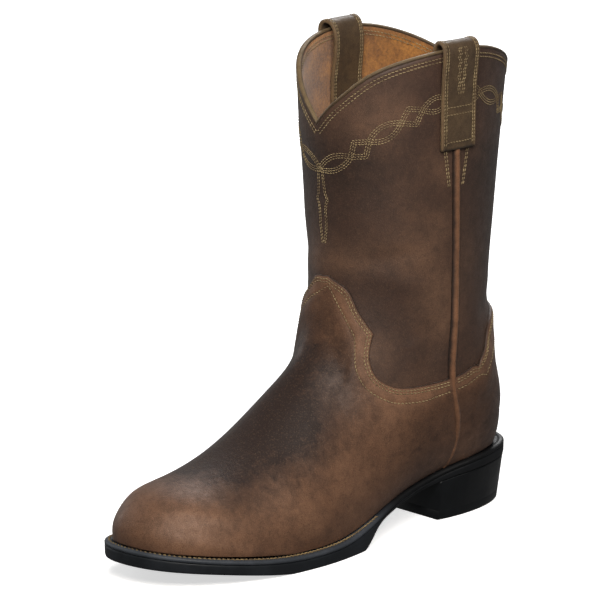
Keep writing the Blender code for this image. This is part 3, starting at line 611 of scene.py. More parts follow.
def shaft_grid(count):
    """(t, w) of a grid from the foot of the shaft leather up to the rim, in so many rows."""
    rise = np.linspace(0, 1, count)
    return (full_foot[:, :1] + (rim_rows - full_foot[:, 0])[:, None] * rise,
            full_foot[:, 1:2] + (full_foot[:, 2] - full_foot[:, 1])[:, None] * rise)


shaft_t, shaft_w = shaft_grid(SHAFT_ROWS)
shaft_base = skin(shaft_t, shaft_w)
shaft_move = relief(shaft_base)
shaft_leather = pull_up_leather("oiled_brown_pull_up_leather", "#463228", "#241812", "#6a4e3c",
                                dusty=0.9)
# the shaft's dark flag is burnish and painted shade, its warm flag rubs and painted highlights
shell("shaft", "upper", skin(shaft_t, shaft_w, shaft_move),
      skin(shaft_t, shaft_w, -SHAFT_LEATHER), True, shaft_leather, {
          "dark": rubbed(shaft_base, BURNISH_AND_PAINTED_SHADE), "warm": rubbed(shaft_base, RUBS_AND_PAINTED_HIGHLIGHTS)})

# The lining: soft golden suede glued inside the whole upper, down to the insole, one sheet for
# each of shaft, vamp and counter. Its nap gives a bright, cloudy, matt surface.
# its two faces, as depths under the upper's outer face
LINING = (1.3, 2.4)
LINING_ROWS = 90
lining_suede, tree, suede_shader = new_material(
    "golden_pig_suede", Roughness=0.95, Sheen_Weight=0.4, Sheen_Roughness=0.6)
place_at = add_node(tree, "ShaderNodeTexCoord").outputs["Object"]
nap = cloudy(tree, place_at, 1.6, 5.0, 0.7)
patches = cloudy(tree, place_at, 14.0, 3.0, 0.6)
spread = ranged(tree, reckoned(tree, "MULTIPLY", nap, patches), 0.12, 0.42)
tint = mixed(tree, spread, linear("#5f3814"), linear("#b37832"))
tree.links.new(tint, suede_shader.inputs["Base Color"])
tree.links.new(bumped(tree, nap, 0.7, 0.4), suede_shader.inputs["Normal"])

flat_lattice = LATTICE.reshape(-1, 3)
rows_of, columns_of = LATTICE.shape[:2]
corner = (np.arange(rows_of - 1)[:, None] * columns_of + np.arange(columns_of - 1)).ravel()
lattice_faces = np.stack([corner, corner + 1, corner + columns_of + 1, corner + columns_of], -1)
last_tree = BVHTree.FromPolygons(flat_lattice.tolist(), lattice_faces.tolist())
# the tree's own normals may face in, so one of them is tried against the lattice's
middle_row, middle_column = rows_of // 2, columns_of // 3
middle_face = last_tree.find_nearest(Vector(LATTICE[middle_row, middle_column]))
FACING = float(np.sign(np.dot(middle_face[1], NORMALS[middle_row, middle_column])))


def nearest(points):
    """The nearest points of the upper's outer face, and its outward normals there."""
    hits = [last_tree.find_nearest(Vector(p)) for p in np.asarray(points, float).reshape(-1, 3)]
    spots = np.array([hit[0] for hit in hits]).reshape(np.shape(points))
    return spots, FACING * np.array([hit[1] for hit in hits]).reshape(np.shape(points))


lining_t, lining_w = shaft_grid(LINING_ROWS)
every = slice(None, None, 2)
shell("shaft_lining", "upper", skin(lining_t, lining_w, -LINING[0])[every],
      skin(lining_t, lining_w, -LINING[1])[every], True, lining_suede)

# The vamp: one piece of the same leather over foot and instep, lapped on the shaft and sewn
# down. Its edge sweeps up from the side seam to a cusp and then to a blunt tongue at the front,
# which leans outward on its inner side.
# It is 1.5 mm thick, with its cut edge rounded and darkened.
VAMP_THICK = 1.5
LAP = 0.4
SEAM_FOOT = 57.5
SEAM_PATH = [
    (31.0, 57.5), (42.6, 57.2), (51.4, 57.4), (62.2, 59.3), (71.6, 61.9), (81.6, 64.7),
    (93.7, 66.4), (109.8, 66.5), (130.4, 65.3), (152.0, 64.3), (176.0, 63.8), (205.0, 64.2),
    (235.0, 64.8), (300.0, 65.2),
]
# lines over the outer half of the vamp, side seam to tongue: foot (s on the side, or fraction
# across the toe), band of the last stitch row (row, across), cut edge (row, across)
VAMP_LINES = [
    ("seam", ("side", 57.5), (10.40, 0.182), (10.68, 0.206)),
    ("arch", ("side", 92.0), (9.63, 0.193), (9.95, 0.216)),
    ("shank", ("side", 118.0), (9.135, 0.219), (9.447, 0.238)),
    ("sweep", ("side", 143.0), (8.865, 0.240), (9.154, 0.260)),
    ("joint", ("side", 163.0), (8.647, 0.270), (8.999, 0.282)),
    ("corner", ("side", 182.0), (8.500, 0.305), (8.925, 0.304)),
    ("fore", ("toe", 0.05), (8.541, 0.340), (8.990, 0.328)),
    ("wing", ("toe", 0.12), (8.713, 0.363), (9.167, 0.346)),
    ("rise", ("toe", 0.165), (8.960, 0.378), (9.411, 0.356)),
    ("cusp", ("toe", 0.21), (9.217, 0.392), (9.700, 0.363)),
    ("neck", ("toe", 0.27), (9.449, 0.423), (9.960, 0.411)),
    ("shoulder", ("toe", 0.35), (9.760, 0.455), (10.355, 0.441)),
    ("tip_side", ("toe", 0.43), (9.990, 0.479), (10.420, 0.474)),
    ("tip", ("toe", 0.50), (10.130, 0.500), (10.500, 0.500)),
]
CUSP = 9
TONGUE_LEAN = 0.06
LEAN_ROW = 10.0
# fractions across where the lean sets in, and where it ends, each with the way it takes
LEAN_FROM = (0.44, 0.14)
LEAN_UNTIL = (0.645, 0.06)
VAMP_HALF = 150
VAMP_RISE = 92
SEAM_EASE = 24
FOOT_STEPS = 500
# fractions of the way from the band to the cut edge, close together where the edge rounds over
BAND_STEPS = [0.10, 0.20, 0.31, 0.42, 0.52, 0.60, 0.67, 0.74, 0.80, 0.86, 0.91, 0.95, 0.98, 1.0]

seam_curve = spline(*zip(*SEAM_PATH))
side_t = np.linspace(HEEL_TURN - 0.1, 0, FOOT_STEPS)
side_foot = sample(LATTICE, side_t, np.zeros(FOOT_STEPS))
toe_w = np.linspace(0, 0.5, FOOT_STEPS)[1:]
toe_foot = sample(LATTICE, np.zeros(FOOT_STEPS - 1), toe_w)
foot_t = np.concatenate([side_t, np.zeros(FOOT_STEPS - 1)])
foot_w = np.concatenate([np.zeros(FOOT_STEPS), toe_w])
foot_line = np.concatenate([side_foot, toe_foot])
foot_run = np.append(0, np.cumsum(np.linalg.norm(np.diff(foot_line, axis=0), axis=1)))


def foot_reach(kind, value):
    """Distance round the feather line of a named foot."""
    if kind == "side":
        return float(np.interp(value, side_foot[:, 1], foot_run[:FOOT_STEPS]))
    return float(np.interp(value, toe_w, foot_run[FOOT_STEPS:]))


reaches = np.array([foot_reach(*row[1]) for row in VAMP_LINES])
edge_points = sample(LATTICE, [row[3][0] for row in VAMP_LINES], [row[3][1] for row in VAMP_LINES])
edge_run = np.append(0, np.cumsum(np.linalg.norm(np.diff(edge_points, axis=0), axis=1)))
knots = (reaches - reaches[0]) / (reaches[-1] - reaches[0]) + edge_run / edge_run[-1]
columns_at = np.linspace(knots[0], knots[-1], VAMP_HALF + 1)
columns_at[np.argmin(np.abs(columns_at - knots[CUSP]))] = knots[CUSP]


def two_part(values):
    """A curve through the values of the vamp's lines, smooth but for the corner at the cusp."""
    values = np.asarray(values, float)
    low = spline(knots[:CUSP + 1], values[:CUSP + 1])(columns_at)
    high = spline(knots[CUSP:], values[CUSP:])(columns_at)
    return np.where((columns_at <= knots[CUSP])[:, None], low, high)


half_reach = np.interp(columns_at, knots, reaches)
half_lines = [np.stack([np.interp(half_reach, foot_run, foot_t),
                        np.interp(half_reach, foot_run, foot_w)], 1)]
half_lines += [two_part([row[2] for row in VAMP_LINES]), two_part([row[3] for row in VAMP_LINES])]


def mirrored(line):
    """An outer half line, carried on over the front to the inner side."""
    return np.concatenate([line, line[::-1][1:] * [1, -1] + [0, 1]])


vamp_foot, vamp_band, vamp_edge = [mirrored(line) for line in half_lines]
for line in (vamp_band, vamp_edge):
    up = np.clip((line[:, 1] - LEAN_FROM[0]) / LEAN_FROM[1], 0, 1)
    down = np.clip((LEAN_UNTIL[0] - line[:, 1]) / LEAN_UNTIL[1], 0, 1)
    near = up**2 * (3 - 2 * up) * down**2 * (3 - 2 * down)
    line[:, 1] -= TONGUE_LEAN * near * np.exp(-((line[:, 0] - LEAN_ROW) ** 2))
rise = np.linspace(0, 1, VAMP_RISE)[None, :, None]
band = np.array(BAND_STEPS)[None, :, None]
vamp_tw = np.concatenate([vamp_foot[:, None] + (vamp_band - vamp_foot)[:, None] * rise,
                          vamp_band[:, None] + (vamp_edge - vamp_band)[:, None] * band], 1)


def seam_fitted(grid, side, column, reach):
    """The grid with one end drawn onto the side seam, easing off over some columns."""
    spots = sample(LATTICE, grid[column, :, 0], grid[column, :, 1])
    z = spots[:, 2]
    t, w = place(side, seam_curve(z), z)
    drawn = np.stack([t, w], 1) - grid[column]
    drawn[0] = 0
    order = np.arange(len(grid)) if column == 0 else np.arange(len(grid))[::-1]
    ease = np.clip(1 - order / reach, 0, 1) ** 2
    return grid + drawn[None] * ease[:, None, None]


vamp_tw = seam_fitted(vamp_tw, 1, 0, SEAM_EASE)
vamp_tw = seam_fitted(vamp_tw, -1, -1, SEAM_EASE)
vamp_base = skin(vamp_tw[..., 0], vamp_tw[..., 1])
STITCH_ROWS = (1.7, 3.5)
EDGE_ROUND = 1.2
BAND_PROUD = 0.18
TROUGH = (0.22, 0.55)
SINK = 1.6
SINK_REACH = (13.0, 34.0)


def sunk(distance):
    """How deep foot leather lies once clear of the shaft's foot, by distance from its edge."""
    k = np.clip((distance - SINK_REACH[0]) / (SINK_REACH[1] - SINK_REACH[0]), 0, 1)
    return SINK * k * k * (3 - 2 * k)


def rounded(distance, radius, thick):
    """Height of a cut edge that rounds over, by distance from the edge."""
    k = np.clip(distance / radius, 0, 1)
    return thick * (0.35 + 0.65 * np.sqrt(1 - (1 - k) ** 2))


def troughs(distance, rows):
    """The dip that rows of tight stitches pull in the leather."""
    dip = 0
    for row in rows:
        dip = dip - TROUGH[0] * np.exp(-(((distance - row) / TROUGH[1]) ** 2))
    return dip


def overlay_form(base, band_row):
    """Distance from the cut edge, the same for the band, how far inside the band a point is, and
    the height of an overlay's leather. The band stands slightly proud."""
    from_edge = np.linalg.norm(base - base[:, -1:], axis=-1)
    band_gap = from_edge[:, band_row][:, None]
    in_band = np.clip((band_gap - from_edge) / 1.5, 0, 1) * np.clip(from_edge / 1.5, 0, 1)
    out = LAP + rounded(from_edge, EDGE_ROUND, VAMP_THICK) + relief(base) + BAND_PROUD * in_band
    out = out + troughs(from_edge, STITCH_ROWS) + troughs(from_edge, (band_gap,))
    return from_edge, band_gap, in_band, out - sunk(from_edge)


def overlay_flags(base, from_edge, band_gap, in_band, spared, band_light, line_light):
    """Where an overlay is tinted: burnish and painted shade from the dark patches, rubs and painted
    highlights from the warm ones, lighter on its band and along that band's stitches, spared there
    by the dark patches, and dark at its cut edge."""
    lighter = np.clip(in_band * band_light
                      + line_light * np.exp(-((from_edge - band_gap) / 3.0) ** 2), 0, 1)
    return {"dark": rubbed(base, BURNISH_AND_PAINTED_SHADE) * (1 - spared * in_band),
            "warm": rubbed(base, RUBS_AND_PAINTED_HIGHLIGHTS) + lighter,
            "edge": np.clip(1 - from_edge / 0.7, 0, 1) * 0.9}


from_edge, band_gap, in_band, vamp_out = overlay_form(vamp_base, VAMP_RISE - 1)
vamp_leather = pull_up_leather("oiled_brown_vamp_leather", "#5c3f2d", "#24130b", "#835f47",
                               grain_mm=1.0, dusty=1.3)
vamp_flags = overlay_flags(vamp_base, from_edge, band_gap, in_band, 0.6, 0.55, 0.30)
shell("vamp_leather", "vamp", skin(vamp_tw[..., 0], vamp_tw[..., 1], vamp_out),
      skin(vamp_tw[..., 0], vamp_tw[..., 1], LAP * 0.5 - sunk(from_edge)), False, vamp_leather,
      vamp_flags)
shell("vamp_lining", "upper",
      skin(vamp_tw[..., 0], vamp_tw[..., 1], -0.3 - sunk(from_edge))[::3, ::2],
      skin(vamp_tw[..., 0], vamp_tw[..., 1], -LINING[1] - sunk(from_edge))[::3, ::2], False,
      lining_suede)

# The counter: a stiff cup of leather round the heel, lapped on the shaft like the vamp, with
# its edge sweeping up from each side seam to a low peak at the back.
COUNTER_HALF = 60
COUNTER_RISE = 60
COUNTER_EASE = 22
SMOOTHINGS = 6
# outer half, side seam to the back: foot s, band (row, across), cut edge (row, across)
COUNTER_LINES = [
    ("seam", 57.5, (10.40, 0.182), (10.68, 0.205)),
    ("quarter", 49.0, (10.965, 0.182), (11.35, 0.2035)),
    ("side", 41.0, (11.532, 0.183), (11.93, 0.201)),
    ("turn", 33.0, (12.080, 0.173), (12.470, 0.183)),
    ("back_side", 25.0, (12.550, 0.154), (12.980, 0.164)),
    ("back_turn", 16.0, (13.020, 0.124), (13.500, 0.138)),
    ("near_back", 7.0, (13.520, 0.072), (14.080, 0.084)),
    ("back", 0.0, (13.900, 0.000), (14.550, 0.000)),
]
line_index = np.linspace(0, 1, len(COUNTER_LINES))
counter_at = np.linspace(0, 1, COUNTER_HALF + 1)
band_tw = spline(line_index, [row[2] for row in COUNTER_LINES])(counter_at)
edge_tw = spline(line_index, [row[3] for row in COUNTER_LINES])(counter_at)
foot_angle = spline(line_index, [np.arccos(1 - row[1] / SEAM_FOOT) for row in COUNTER_LINES])
foot_s = SEAM_FOOT * (1 - np.cos(np.clip(foot_angle(counter_at), 0, np.pi / 2)))
foot_s[-1] = 0.0
counter_sides = []
for side, width in zip((1, -1), feather_widths(foot_s)):
    foot = np.stack([width * side, foot_s, feather_z(foot_s)], 1)
    lines = []
    for line_tw in (band_tw, edge_tw):
        across_at = line_tw[:, 1] if side > 0 else 1 - line_tw[:, 1]
        lines.append(sample(LATTICE, line_tw[:, 0], across_at))
        lines[-1][-1, 0] = 0.0
    up = np.linspace(0, 1, COUNTER_RISE)[None, :, None]
    grid = np.concatenate([foot[:, None] + (lines[0] - foot)[:, None] * up,
                           lines[0][:, None] + (lines[1] - lines[0])[:, None] * band], 1)
    drawn = seam_curve(grid[0, :, 2]) - grid[0, :, 1]
    drawn[0] = 0.0
    ease = np.clip(1 - np.arange(COUNTER_HALF + 1) / COUNTER_EASE, 0, 1) ** 2
    grid[:, :, 1] += drawn[None] * ease[:, None]
    counter_sides.append(grid)
counter_rough = np.concatenate([counter_sides[0], counter_sides[1][::-1][1:]])
counter_base = nearest(counter_rough)[0]
counter_base[:, 0] = counter_rough[:, 0]
counter_across = np.gradient(counter_base, axis=0)
counter_normal = unit(np.cross(np.gradient(counter_base, axis=1), counter_across))
counter_middle = np.array([0.0, 45.0, 60.0])
counter_normal *= np.sign(np.sum(counter_normal * (counter_base - counter_middle), -1))[..., None]
for _ in range(SMOOTHINGS):
    padded_normal = np.pad(counter_normal, ((1, 1), (1, 1), (0, 0)), mode="edge")
    counter_normal = unit(padded_normal[1:-1, 1:-1] * 2 + padded_normal[:-2, 1:-1]
                          + padded_normal[2:, 1:-1] + padded_normal[1:-1, :-2]
                          + padded_normal[1:-1, 2:])
from_edge, band_gap, in_band, counter_out = overlay_form(counter_base, COUNTER_RISE - 1)
counter_deep = sunk(from_edge)
shell("counter_leather", "counter",
      counter_base + counter_normal * counter_out[..., None],
      counter_base + counter_normal * (LAP * 0.5 - counter_deep[..., None]), False, vamp_leather,
      overlay_flags(counter_base, from_edge, band_gap, in_band, 0.0, 0.5, 0.25))
shell("counter_lining", "upper",
      (counter_base - counter_normal * (0.4 + counter_deep[..., None]))[::2, ::2],
      (counter_base - counter_normal * (LINING[1] + counter_deep[..., None]))[::2, ::2], False,
      lining_suede)

# The side seams: a narrow strip of paler leather folded over a cord covers each one, from the
# sole to the foot of the pull strap. It is glued and stitched from inside, so it stands proud.
PIPING = (4.5, 1.8)
PIPING_LOW = LAP + 0.1
STRAP_FOOT = 232.0
PIPING_STATIONS = 150
# profile of the strip: across (half widths), height (of its full height)
PIPING_PROFILE = [
    (-1.35, -0.25), (-1.15, 0.10), (-0.92, 0.46), (-0.66, 0.80), (-0.34, 0.97), (0.0, 1.02),
    (0.34, 0.97), (0.66, 0.80), (0.92, 0.46), (1.15, 0.10), (1.35, -0.25),
]
piping_leather = pull_up_leather("burnished_strip_leather", "#624331", "#23160f", "#875e42",
                                 grain_mm=0.7, dusty=0.5)


def swept(name, node, stations, material, flags=None, closed=False):
    """A closed tube through profiles, (stations, profile points, 3)."""
    count, around = stations.shape[:2]
    number = np.arange(count * around).reshape(count, around)
    here = number if closed else number[:-1]
    ahead = np.roll(number, -1, 0) if closed else number[1:]
    beside = np.roll(here, -1, 1)
    faces = np.stack([here, beside, np.roll(ahead, -1, 1), ahead], -1).reshape(-1, 4).tolist()
    points = stations.reshape(-1, 3)
    if not closed:
        ends = stations[[0, -1]].mean(1)
        points = np.concatenate([points, ends])
        for k, (line, order) in enumerate(((number[0], -1), (number[-1], 1))):
            tip = count * around + k
            for i in range(around):
                faces.append([line[i], line[(i + 1) % around], tip, tip][::order])
    faces = [face if len(set(face)) == 4 else list(dict.fromkeys(face)) for face in faces]
    piece(name, node, points, faces, material, flags)


seam_z = np.linspace(30.2, STRAP_FOOT + 2.0, PIPING_STATIONS)
for side, label in ((1, "lateral"), (-1, "medial")):
    t, w = place(side, seam_curve(seam_z), seam_z)
    spine = sample(LATTICE, t, w)
    normal = unit(sample(NORMALS, t, w))
    along = unit(np.gradient(spine, axis=0))
    over = unit(np.cross(normal, along))
    wobble = 0.06 * np.sin(seam_z / 2.9) + 0.05 * np.sin(seam_z / 1.13)
    deep = sunk(86.0 - seam_z)
    stations = np.stack([spine + over * (a * PIPING[0] / 2)
                         + normal * (b * (PIPING[1] + wobble) + PIPING_LOW - deep)[:, None]
                         for a, b in PIPING_PROFILE], 1)
    # crest painted lighter, part rub and part painted highlight; flanks and foot painted as groove
    # shade
    crest = np.array([max(b, 0) for _, b in PIPING_PROFILE])
    node = "side_piping_" + label
    swept(node + "_strip", node, stations, piping_leather, {
        "warm": np.broadcast_to(crest * 0.9, stations.shape[:2]) + rubbed(stations, RUBS_AND_PAINTED_HIGHLIGHTS) * 0.3,
        "dark": np.broadcast_to((1 - crest) * 1.1, stations.shape[:2]),
        "edge": np.broadcast_to(np.clip(0.35 - crest, 0, 1) * 2.2, stations.shape[:2])})

# The rim: shaft and lining are closed by a rolled binding of the same leather, stitched
# through. Its crown is painted a dull olive tan, part rubbed wear and part painted highlight,
# and its underside is painted darker as shade.
BEAD = 1.9
RIM_STATIONS = 400
binding_leather = pull_up_leather("rolled_binding_leather", "#54432f", "#2e2218", "#7a6545",
                                  grain_mm=0.7, dusty=0.7)
half_rim = np.linspace(0, 0.5, RIM_STATIONS // 2 + 1)
rim_w = np.concatenate([half_rim, 1 - half_rim[::-1][1:-1]])
rim_t = row_at(rim_w, rim_z(rim_w))
rim_line = sample(LATTICE, rim_t, rim_w)
rim_line[[0, RIM_STATIONS // 2], 0] = 0.0
rim_normal = unit(sample(NORMALS, rim_t, rim_w) * np.array([1.0, 1.0, 0.0]))
rim_middle = rim_line - rim_normal * 1.2
rim_ahead = unit(np.roll(rim_middle, -1, 0) - np.roll(rim_middle, 1, 0))
rim_up = unit(np.cross(rim_ahead, rim_normal))
rim_up *= np.sign(rim_up[:, 2:3])
angles = np.linspace(0, 2 * np.pi, 12, endpoint=False)
bead_profile = [(1.75 * np.cos(a), 0.55 + (BEAD * 0.62) * np.sin(a)) for a in angles]
stations = np.stack([rim_middle + rim_normal * a + rim_up * b for a, b in bead_profile], 1)
# crown painted lighter, part rub and part painted highlight; the underside painted darker as shade
crown = np.clip(np.sin(angles), 0, 1)
swept("topline_binding_roll", "topline_binding", stations, binding_leather, {
    "warm": np.broadcast_to(crown, stations.shape[:2]),
    "dark": np.broadcast_to(0.4 * (1 - crown), stations.shape[:2])}, closed=True)

# The pull straps: two loops of doubled leather with turned edges, sewn over the rim at each
# side seam, and reaching a little further down inside than outside.
STRAP = (26.0, 2.2)
STRAP_CENTRE = 64.3
# height, distance of the strap's middle from the upper's outer face
STRAP_PATH = [
    (232.0, 1.75), (245.0, 1.75), (258.0, 1.8), (268.0, 2.1), (277.0, 2.7), (284.5, 3.5),
    (290.3, 3.8), (294.4, 2.2), (295.7, -1.2), (294.4, -4.8), (289.5, -7.4), (281.5, -7.7),
    (273.0, -6.8), (264.0, -5.2), (252.0, -4.3), (234.0, -4.1), (214.0, -4.1),
]
STRAP_LONG = 110
strap_leather = pull_up_leather("doubled_strap_leather", "#5a4833", "#2f2319", "#7b6346",
                                grain_mm=0.8, dusty=0.6)
STRAP_ACROSS = np.array([-1.0, -0.985, -0.95, -0.88, -0.8, -0.72, -0.5, -0.25, 0.0])
STRAP_ACROSS = np.concatenate([STRAP_ACROSS, -STRAP_ACROSS[::-1][1:]])


def strap_frame(side, long_at, across_at):
    """Points of the strap's middle and its outward normals, by way along and way across."""
    path = np.array(STRAP_PATH)
    way = spline(np.linspace(0, 1, len(path)), path)(long_at)
    s = STRAP_CENTRE + across_at * STRAP[0] / 2
    z = np.broadcast_to(way[:, 0][:, None], (len(long_at), len(across_at)))
    t, w = place(side, np.broadcast_to(s, z.shape), z)
    out = unit(sample(NORMALS, t, w) * np.array([1.0, 1.0, 0.0]))
    middle = sample(LATTICE, t, w) + out * way[:, 1][:, None, None]
    normal = unit(np.cross(np.gradient(middle, axis=0), np.gradient(middle, axis=1)))
    if normal[2, len(across_at) // 2, 0] * side < 0:
        normal = -normal
    return middle, normal


strap_way = np.linspace(0, 1, STRAP_LONG)
for side, label in ((1, "lateral"), (-1, "medial")):
    middle, normal = strap_frame(side, strap_way, STRAP_ACROSS)
    edge = 1 - np.abs(STRAP_ACROSS)
    round_edge = np.sqrt(np.clip(1 - (1 - np.clip(edge / 0.07, 0, 1)) ** 2, 0, 1))
    turned = 0.35 * np.exp(-((edge - 0.06) / 0.06) ** 2) - 0.25 * np.exp(-((edge - 0.24) / 0.08) ** 2)
    half = STRAP[1] / 2 * (0.25 + 0.75 * round_edge)
    flags = {"warm": np.broadcast_to(np.clip(1 - edge / 0.16, 0, 1) * 0.9, middle.shape[:2]),
             "dark": np.broadcast_to(0.3 * np.clip(edge / 0.3, 0, 1), middle.shape[:2])}
    node = "pull_strap_" + label
    shell(node + "_leather", node,
          middle + normal * (half + turned)[None, :, None], middle - normal * half[None, :, None],
          False, strap_leather, flags)

# The insole: a tan leather board with a soft edge, lying on the sole inside.
insole_leather = pull_up_leather("veg_tan_insole_leather", "#a9793f", "#7a5224", "#c2924f",
                                 grain_mm=1.2, dusty=0.3)
INSOLE_THICK = 2.5
# how far the sole stands out past the feather line: s, distance
SOLE_EDGE = [(-6, 7.4), (4, 7.0), (20, 4.0), (40, 2.8), (62, 2.8), (105, 3.0), (145, 5.8),
             (180, 6.0), (210, 5.2), (285, 5.2)]


def sides_out(s, distance, from_heel):
    """Both sides of the feather line at some s, moved level outward, rounding the toe and, when
    they set out from it, the heel."""
    found = []
    for sign, width in zip((1, -1), feather_widths(s)):
        line = np.stack([width * sign, s], 1)
        ahead = np.gradient(line, axis=0)
        ahead[-1] = (-sign, 0)
        if from_heel:
            ahead[0] = (sign, 0)
        normal = unit(np.stack([ahead[:, 1], -ahead[:, 0]], 1)) * sign
        found.append(line + normal * np.broadcast_to(distance, len(s))[:, None])
    return found


def outline(out, counts, stop=None, edge=SOLE_EDGE):
    """A loop round the sole at a distance from the edge, from the heel tip, with the two
    sides paired at equal s. With stop the loop is cut straight across there."""
    angle = np.linspace(0, 1, 400)
    s = np.concatenate([HEEL_ROUND * (1 - np.cos(angle * np.pi / 2)),
                        np.linspace(HEEL_ROUND, BALL_LINE, 400)[1:],
                        BALL_LINE + (LAST_LENGTH - BALL_LINE) * np.sin(angle * np.pi / 2)[1:]])
    away_at = np.interp(s, *zip(*edge))
    away_at = np.convolve(np.pad(away_at, 30, mode="edge"), np.ones(61) / 61, "valid") + out
    sides = sides_out(s, away_at, True)
    first, last = sides[0][0, 1], sides[0][-1, 1] if stop is None else stop
    heel, shank, toe = counts
    where = first + (HEEL_ROUND - first) * (1 - np.cos(np.linspace(0, np.pi / 2, heel + 1)))
    if stop is None:
        where = np.append(where, np.linspace(HEEL_ROUND, BALL_LINE, shank + 1)[1:])
        swing = np.sin(np.linspace(0, np.pi / 2, toe + 1))[1:]
        where = np.append(where, BALL_LINE + (last - BALL_LINE) * swing)
    else:
        where = np.append(where, np.linspace(HEEL_ROUND, stop, shank + 1)[1:])
    outer, inner = [np.stack([np.interp(where, line[:, 1], line[:, 0]), where], 1) for line in sides]
    tail = inner[::-1][:-1] if stop is not None else inner[::-1][1:-1]
    return np.concatenate([outer, tail])


def lifted(loop, height):
    """A flat loop given its heights."""
    return np.column_stack([loop, np.broadcast_to(height, len(loop))])


def slab(name, node, loops, material, flags=None):
    """A solid through loops from the bottom up, closed across at both ends."""
    count = len(loops[0])
    number = np.arange(count * len(loops)).reshape(len(loops), count)
    faces = []
    for a, b in zip(number, number[1:]):
        faces += np.stack([a, np.roll(a, -1), np.roll(b, -1), b], 1).tolist()
    for loop, order in ((number[0], -1), (number[-1], 1)):
        for k in range(count // 2):
            corners = list(dict.fromkeys([k, k + 1, count - k - 1, (count - k) % count]))
            if k + 1 <= count - k - 1 and len(corners) > 2:
                faces.append([int(loop[c]) for c in corners][::order])
    piece(name, node, np.concatenate(loops), faces, material, flags)


board_counts = (30, 60, 40)
board_steps = [(-5.8, 0.3), (-5.4, 0.5), (-5.4, 1.9), (-5.7, 2.3), (-6.4, INSOLE_THICK)]
loops = []
for inset, height in board_steps:
    loop = outline(inset, board_counts, edge=[(0, 0.0), (1, 0.0)])
    loops.append(lifted(loop, feather_z(loop[:, 1]) + height))
slab("insole_board", "insole", loops, insole_leather)

# The welt: a grey rubber strip moulded in one with the sole's edge, bevelled on top, with a
# groove where the stitches run close against the upper. From the waist back it is inked black.
WELT = 2.6
SOLE_COUNTS = (70, 120, 80)
INKED_BEHIND = 128.0
INK_EASE = 26.0


def moulded_rubber(name, ground, scuffed, gloss):
    """Moulded rubber: matt from the mould's fine spark texture, greyer where it is scuffed."""
    material, tree, shader = new_material(name, Specular_IOR_Level=0.32)
    place_at = add_node(tree, "ShaderNodeTexCoord").outputs["Object"]
    haze = cloudy(tree, place_at, 18.0, 5.0, 0.65)
    spark = cloudy(tree, place_at, 0.8, 2.0, 0.6)
    inked = add_node(tree, "ShaderNodeAttribute", attribute_name="inked").outputs["Fac"]
    tint = mixed(tree, ranged(tree, haze, 0.45, 0.75, 0.0, 0.7), linear(ground), linear(scuffed))
    tint = mixed(tree, inked, tint, linear("#08090b"))
    tree.links.new(tint, shader.inputs["Base Color"])
    rough = ranged(tree, haze, 0.3, 0.7, gloss - 0.08, gloss + 0.12)
    tree.links.new(rough, shader.inputs["Roughness"])
    tree.links.new(bumped(tree, spark, 0.35, 0.15), shader.inputs["Normal"])
    return material


welt_rubber = moulded_rubber("grey_welt_rubber", "#34383e", "#4e5259", 0.52)
# profile of the welt: distance from the sole's edge, height over or under its top
WELT_PROFILE = [
    (0.0, -WELT), (0.05, -1.5), (-0.05, -1.05), (-0.45, -0.55), (-1.3, -0.08), (-2.0, 0.0),
    (-3.0, -0.02), (-3.5, -0.35), (-4.2, -0.45), (-6.0, -0.4), (-11.0, -0.35), (-11.0, -WELT),
]
stations = []
for out, height in WELT_PROFILE:
    loop = outline(out, SOLE_COUNTS)
    stations.append(lifted(loop, feather_z(loop[:, 1]) - LAP + height))
stations = np.stack(stations, 1)
swept("welt_strip", "welt", stations, welt_rubber, closed=True, flags={
    "inked": np.clip((INKED_BEHIND - stations[..., 1]) / INK_EASE, 0, 1)})

# The outsole: black rubber with a square edge, flat under the ball, arched at the waist, its
# underside moulded with a shallow rim.
TREAD = [
    (-6.0, 30.4), (42.0, 27.8), (62.5, 25.0), (95.0, 18.6), (110.0, 14.9), (118.0, 12.3),
    (124.0, 8.6), (130.0, 3.7), (136.0, 0.1), (144.0, -1.0), (175.0, -0.9), (198.0, 0.2),
    (218.0, 3.2), (245.0, 7.8), (285.0, 13.0),
]
sole_rubber = moulded_rubber("black_sole_rubber", "#15181c", "#25292f", 0.50)
tread_curve = spline(*zip(*TREAD))


def tread_z(s):
    """Height of the outsole's underside."""
    return np.maximum(tread_curve(s), 0.0)


# steps from the tread to the inside of the sole: distance from the edge, from bottom or top, mm
SOLE_STEPS = [
    (-6.0, "low", 0.9), (-5.4, "low", 0.9), (-5.0, "low", 0.0), (-1.0, "low", 0.0),
    (-0.55, "low", 0.12), (-0.3, "low", 0.5), (-0.12, "low", 1.5), (0.0, "high", -1.2),
    (-0.05, "high", -0.3), (-0.3, "high", 0.0), (-11.4, "high", 0.0), (-11.9, "seat", -0.15),
]
loops = []
for out, kind, height in SOLE_STEPS:
    loop = outline(out, SOLE_COUNTS)
    level_at = tread_z(loop[:, 1])
    if kind != "low":
        level_at = feather_z(loop[:, 1]) - (2 * LAP + WELT if kind == "high" else 0.0)
    loops.append(lifted(loop, level_at + height))
slab("outsole_rubber", "outsole", loops, sole_rubber, {
    "inked": np.clip((INKED_BEHIND - np.array(loops)[..., 1]) / INK_EASE, 0, 0.8)})

# The heel: a moulded block of black rubber with a straight breast and a hard top lift, tapered
# down to its tread and nailed and glued under the sole.
BREAST = 62.5
# tread of the heel: s of its widest place, length behind that, outer and inner half width
HEEL_FOOT = (47.0, 55.0, 31.0, 30.0)
heel_rubber = moulded_rubber("black_heel_rubber", "#06080a", "#121519", 0.42)
HEEL_COUNTS = (70, 14, 0)
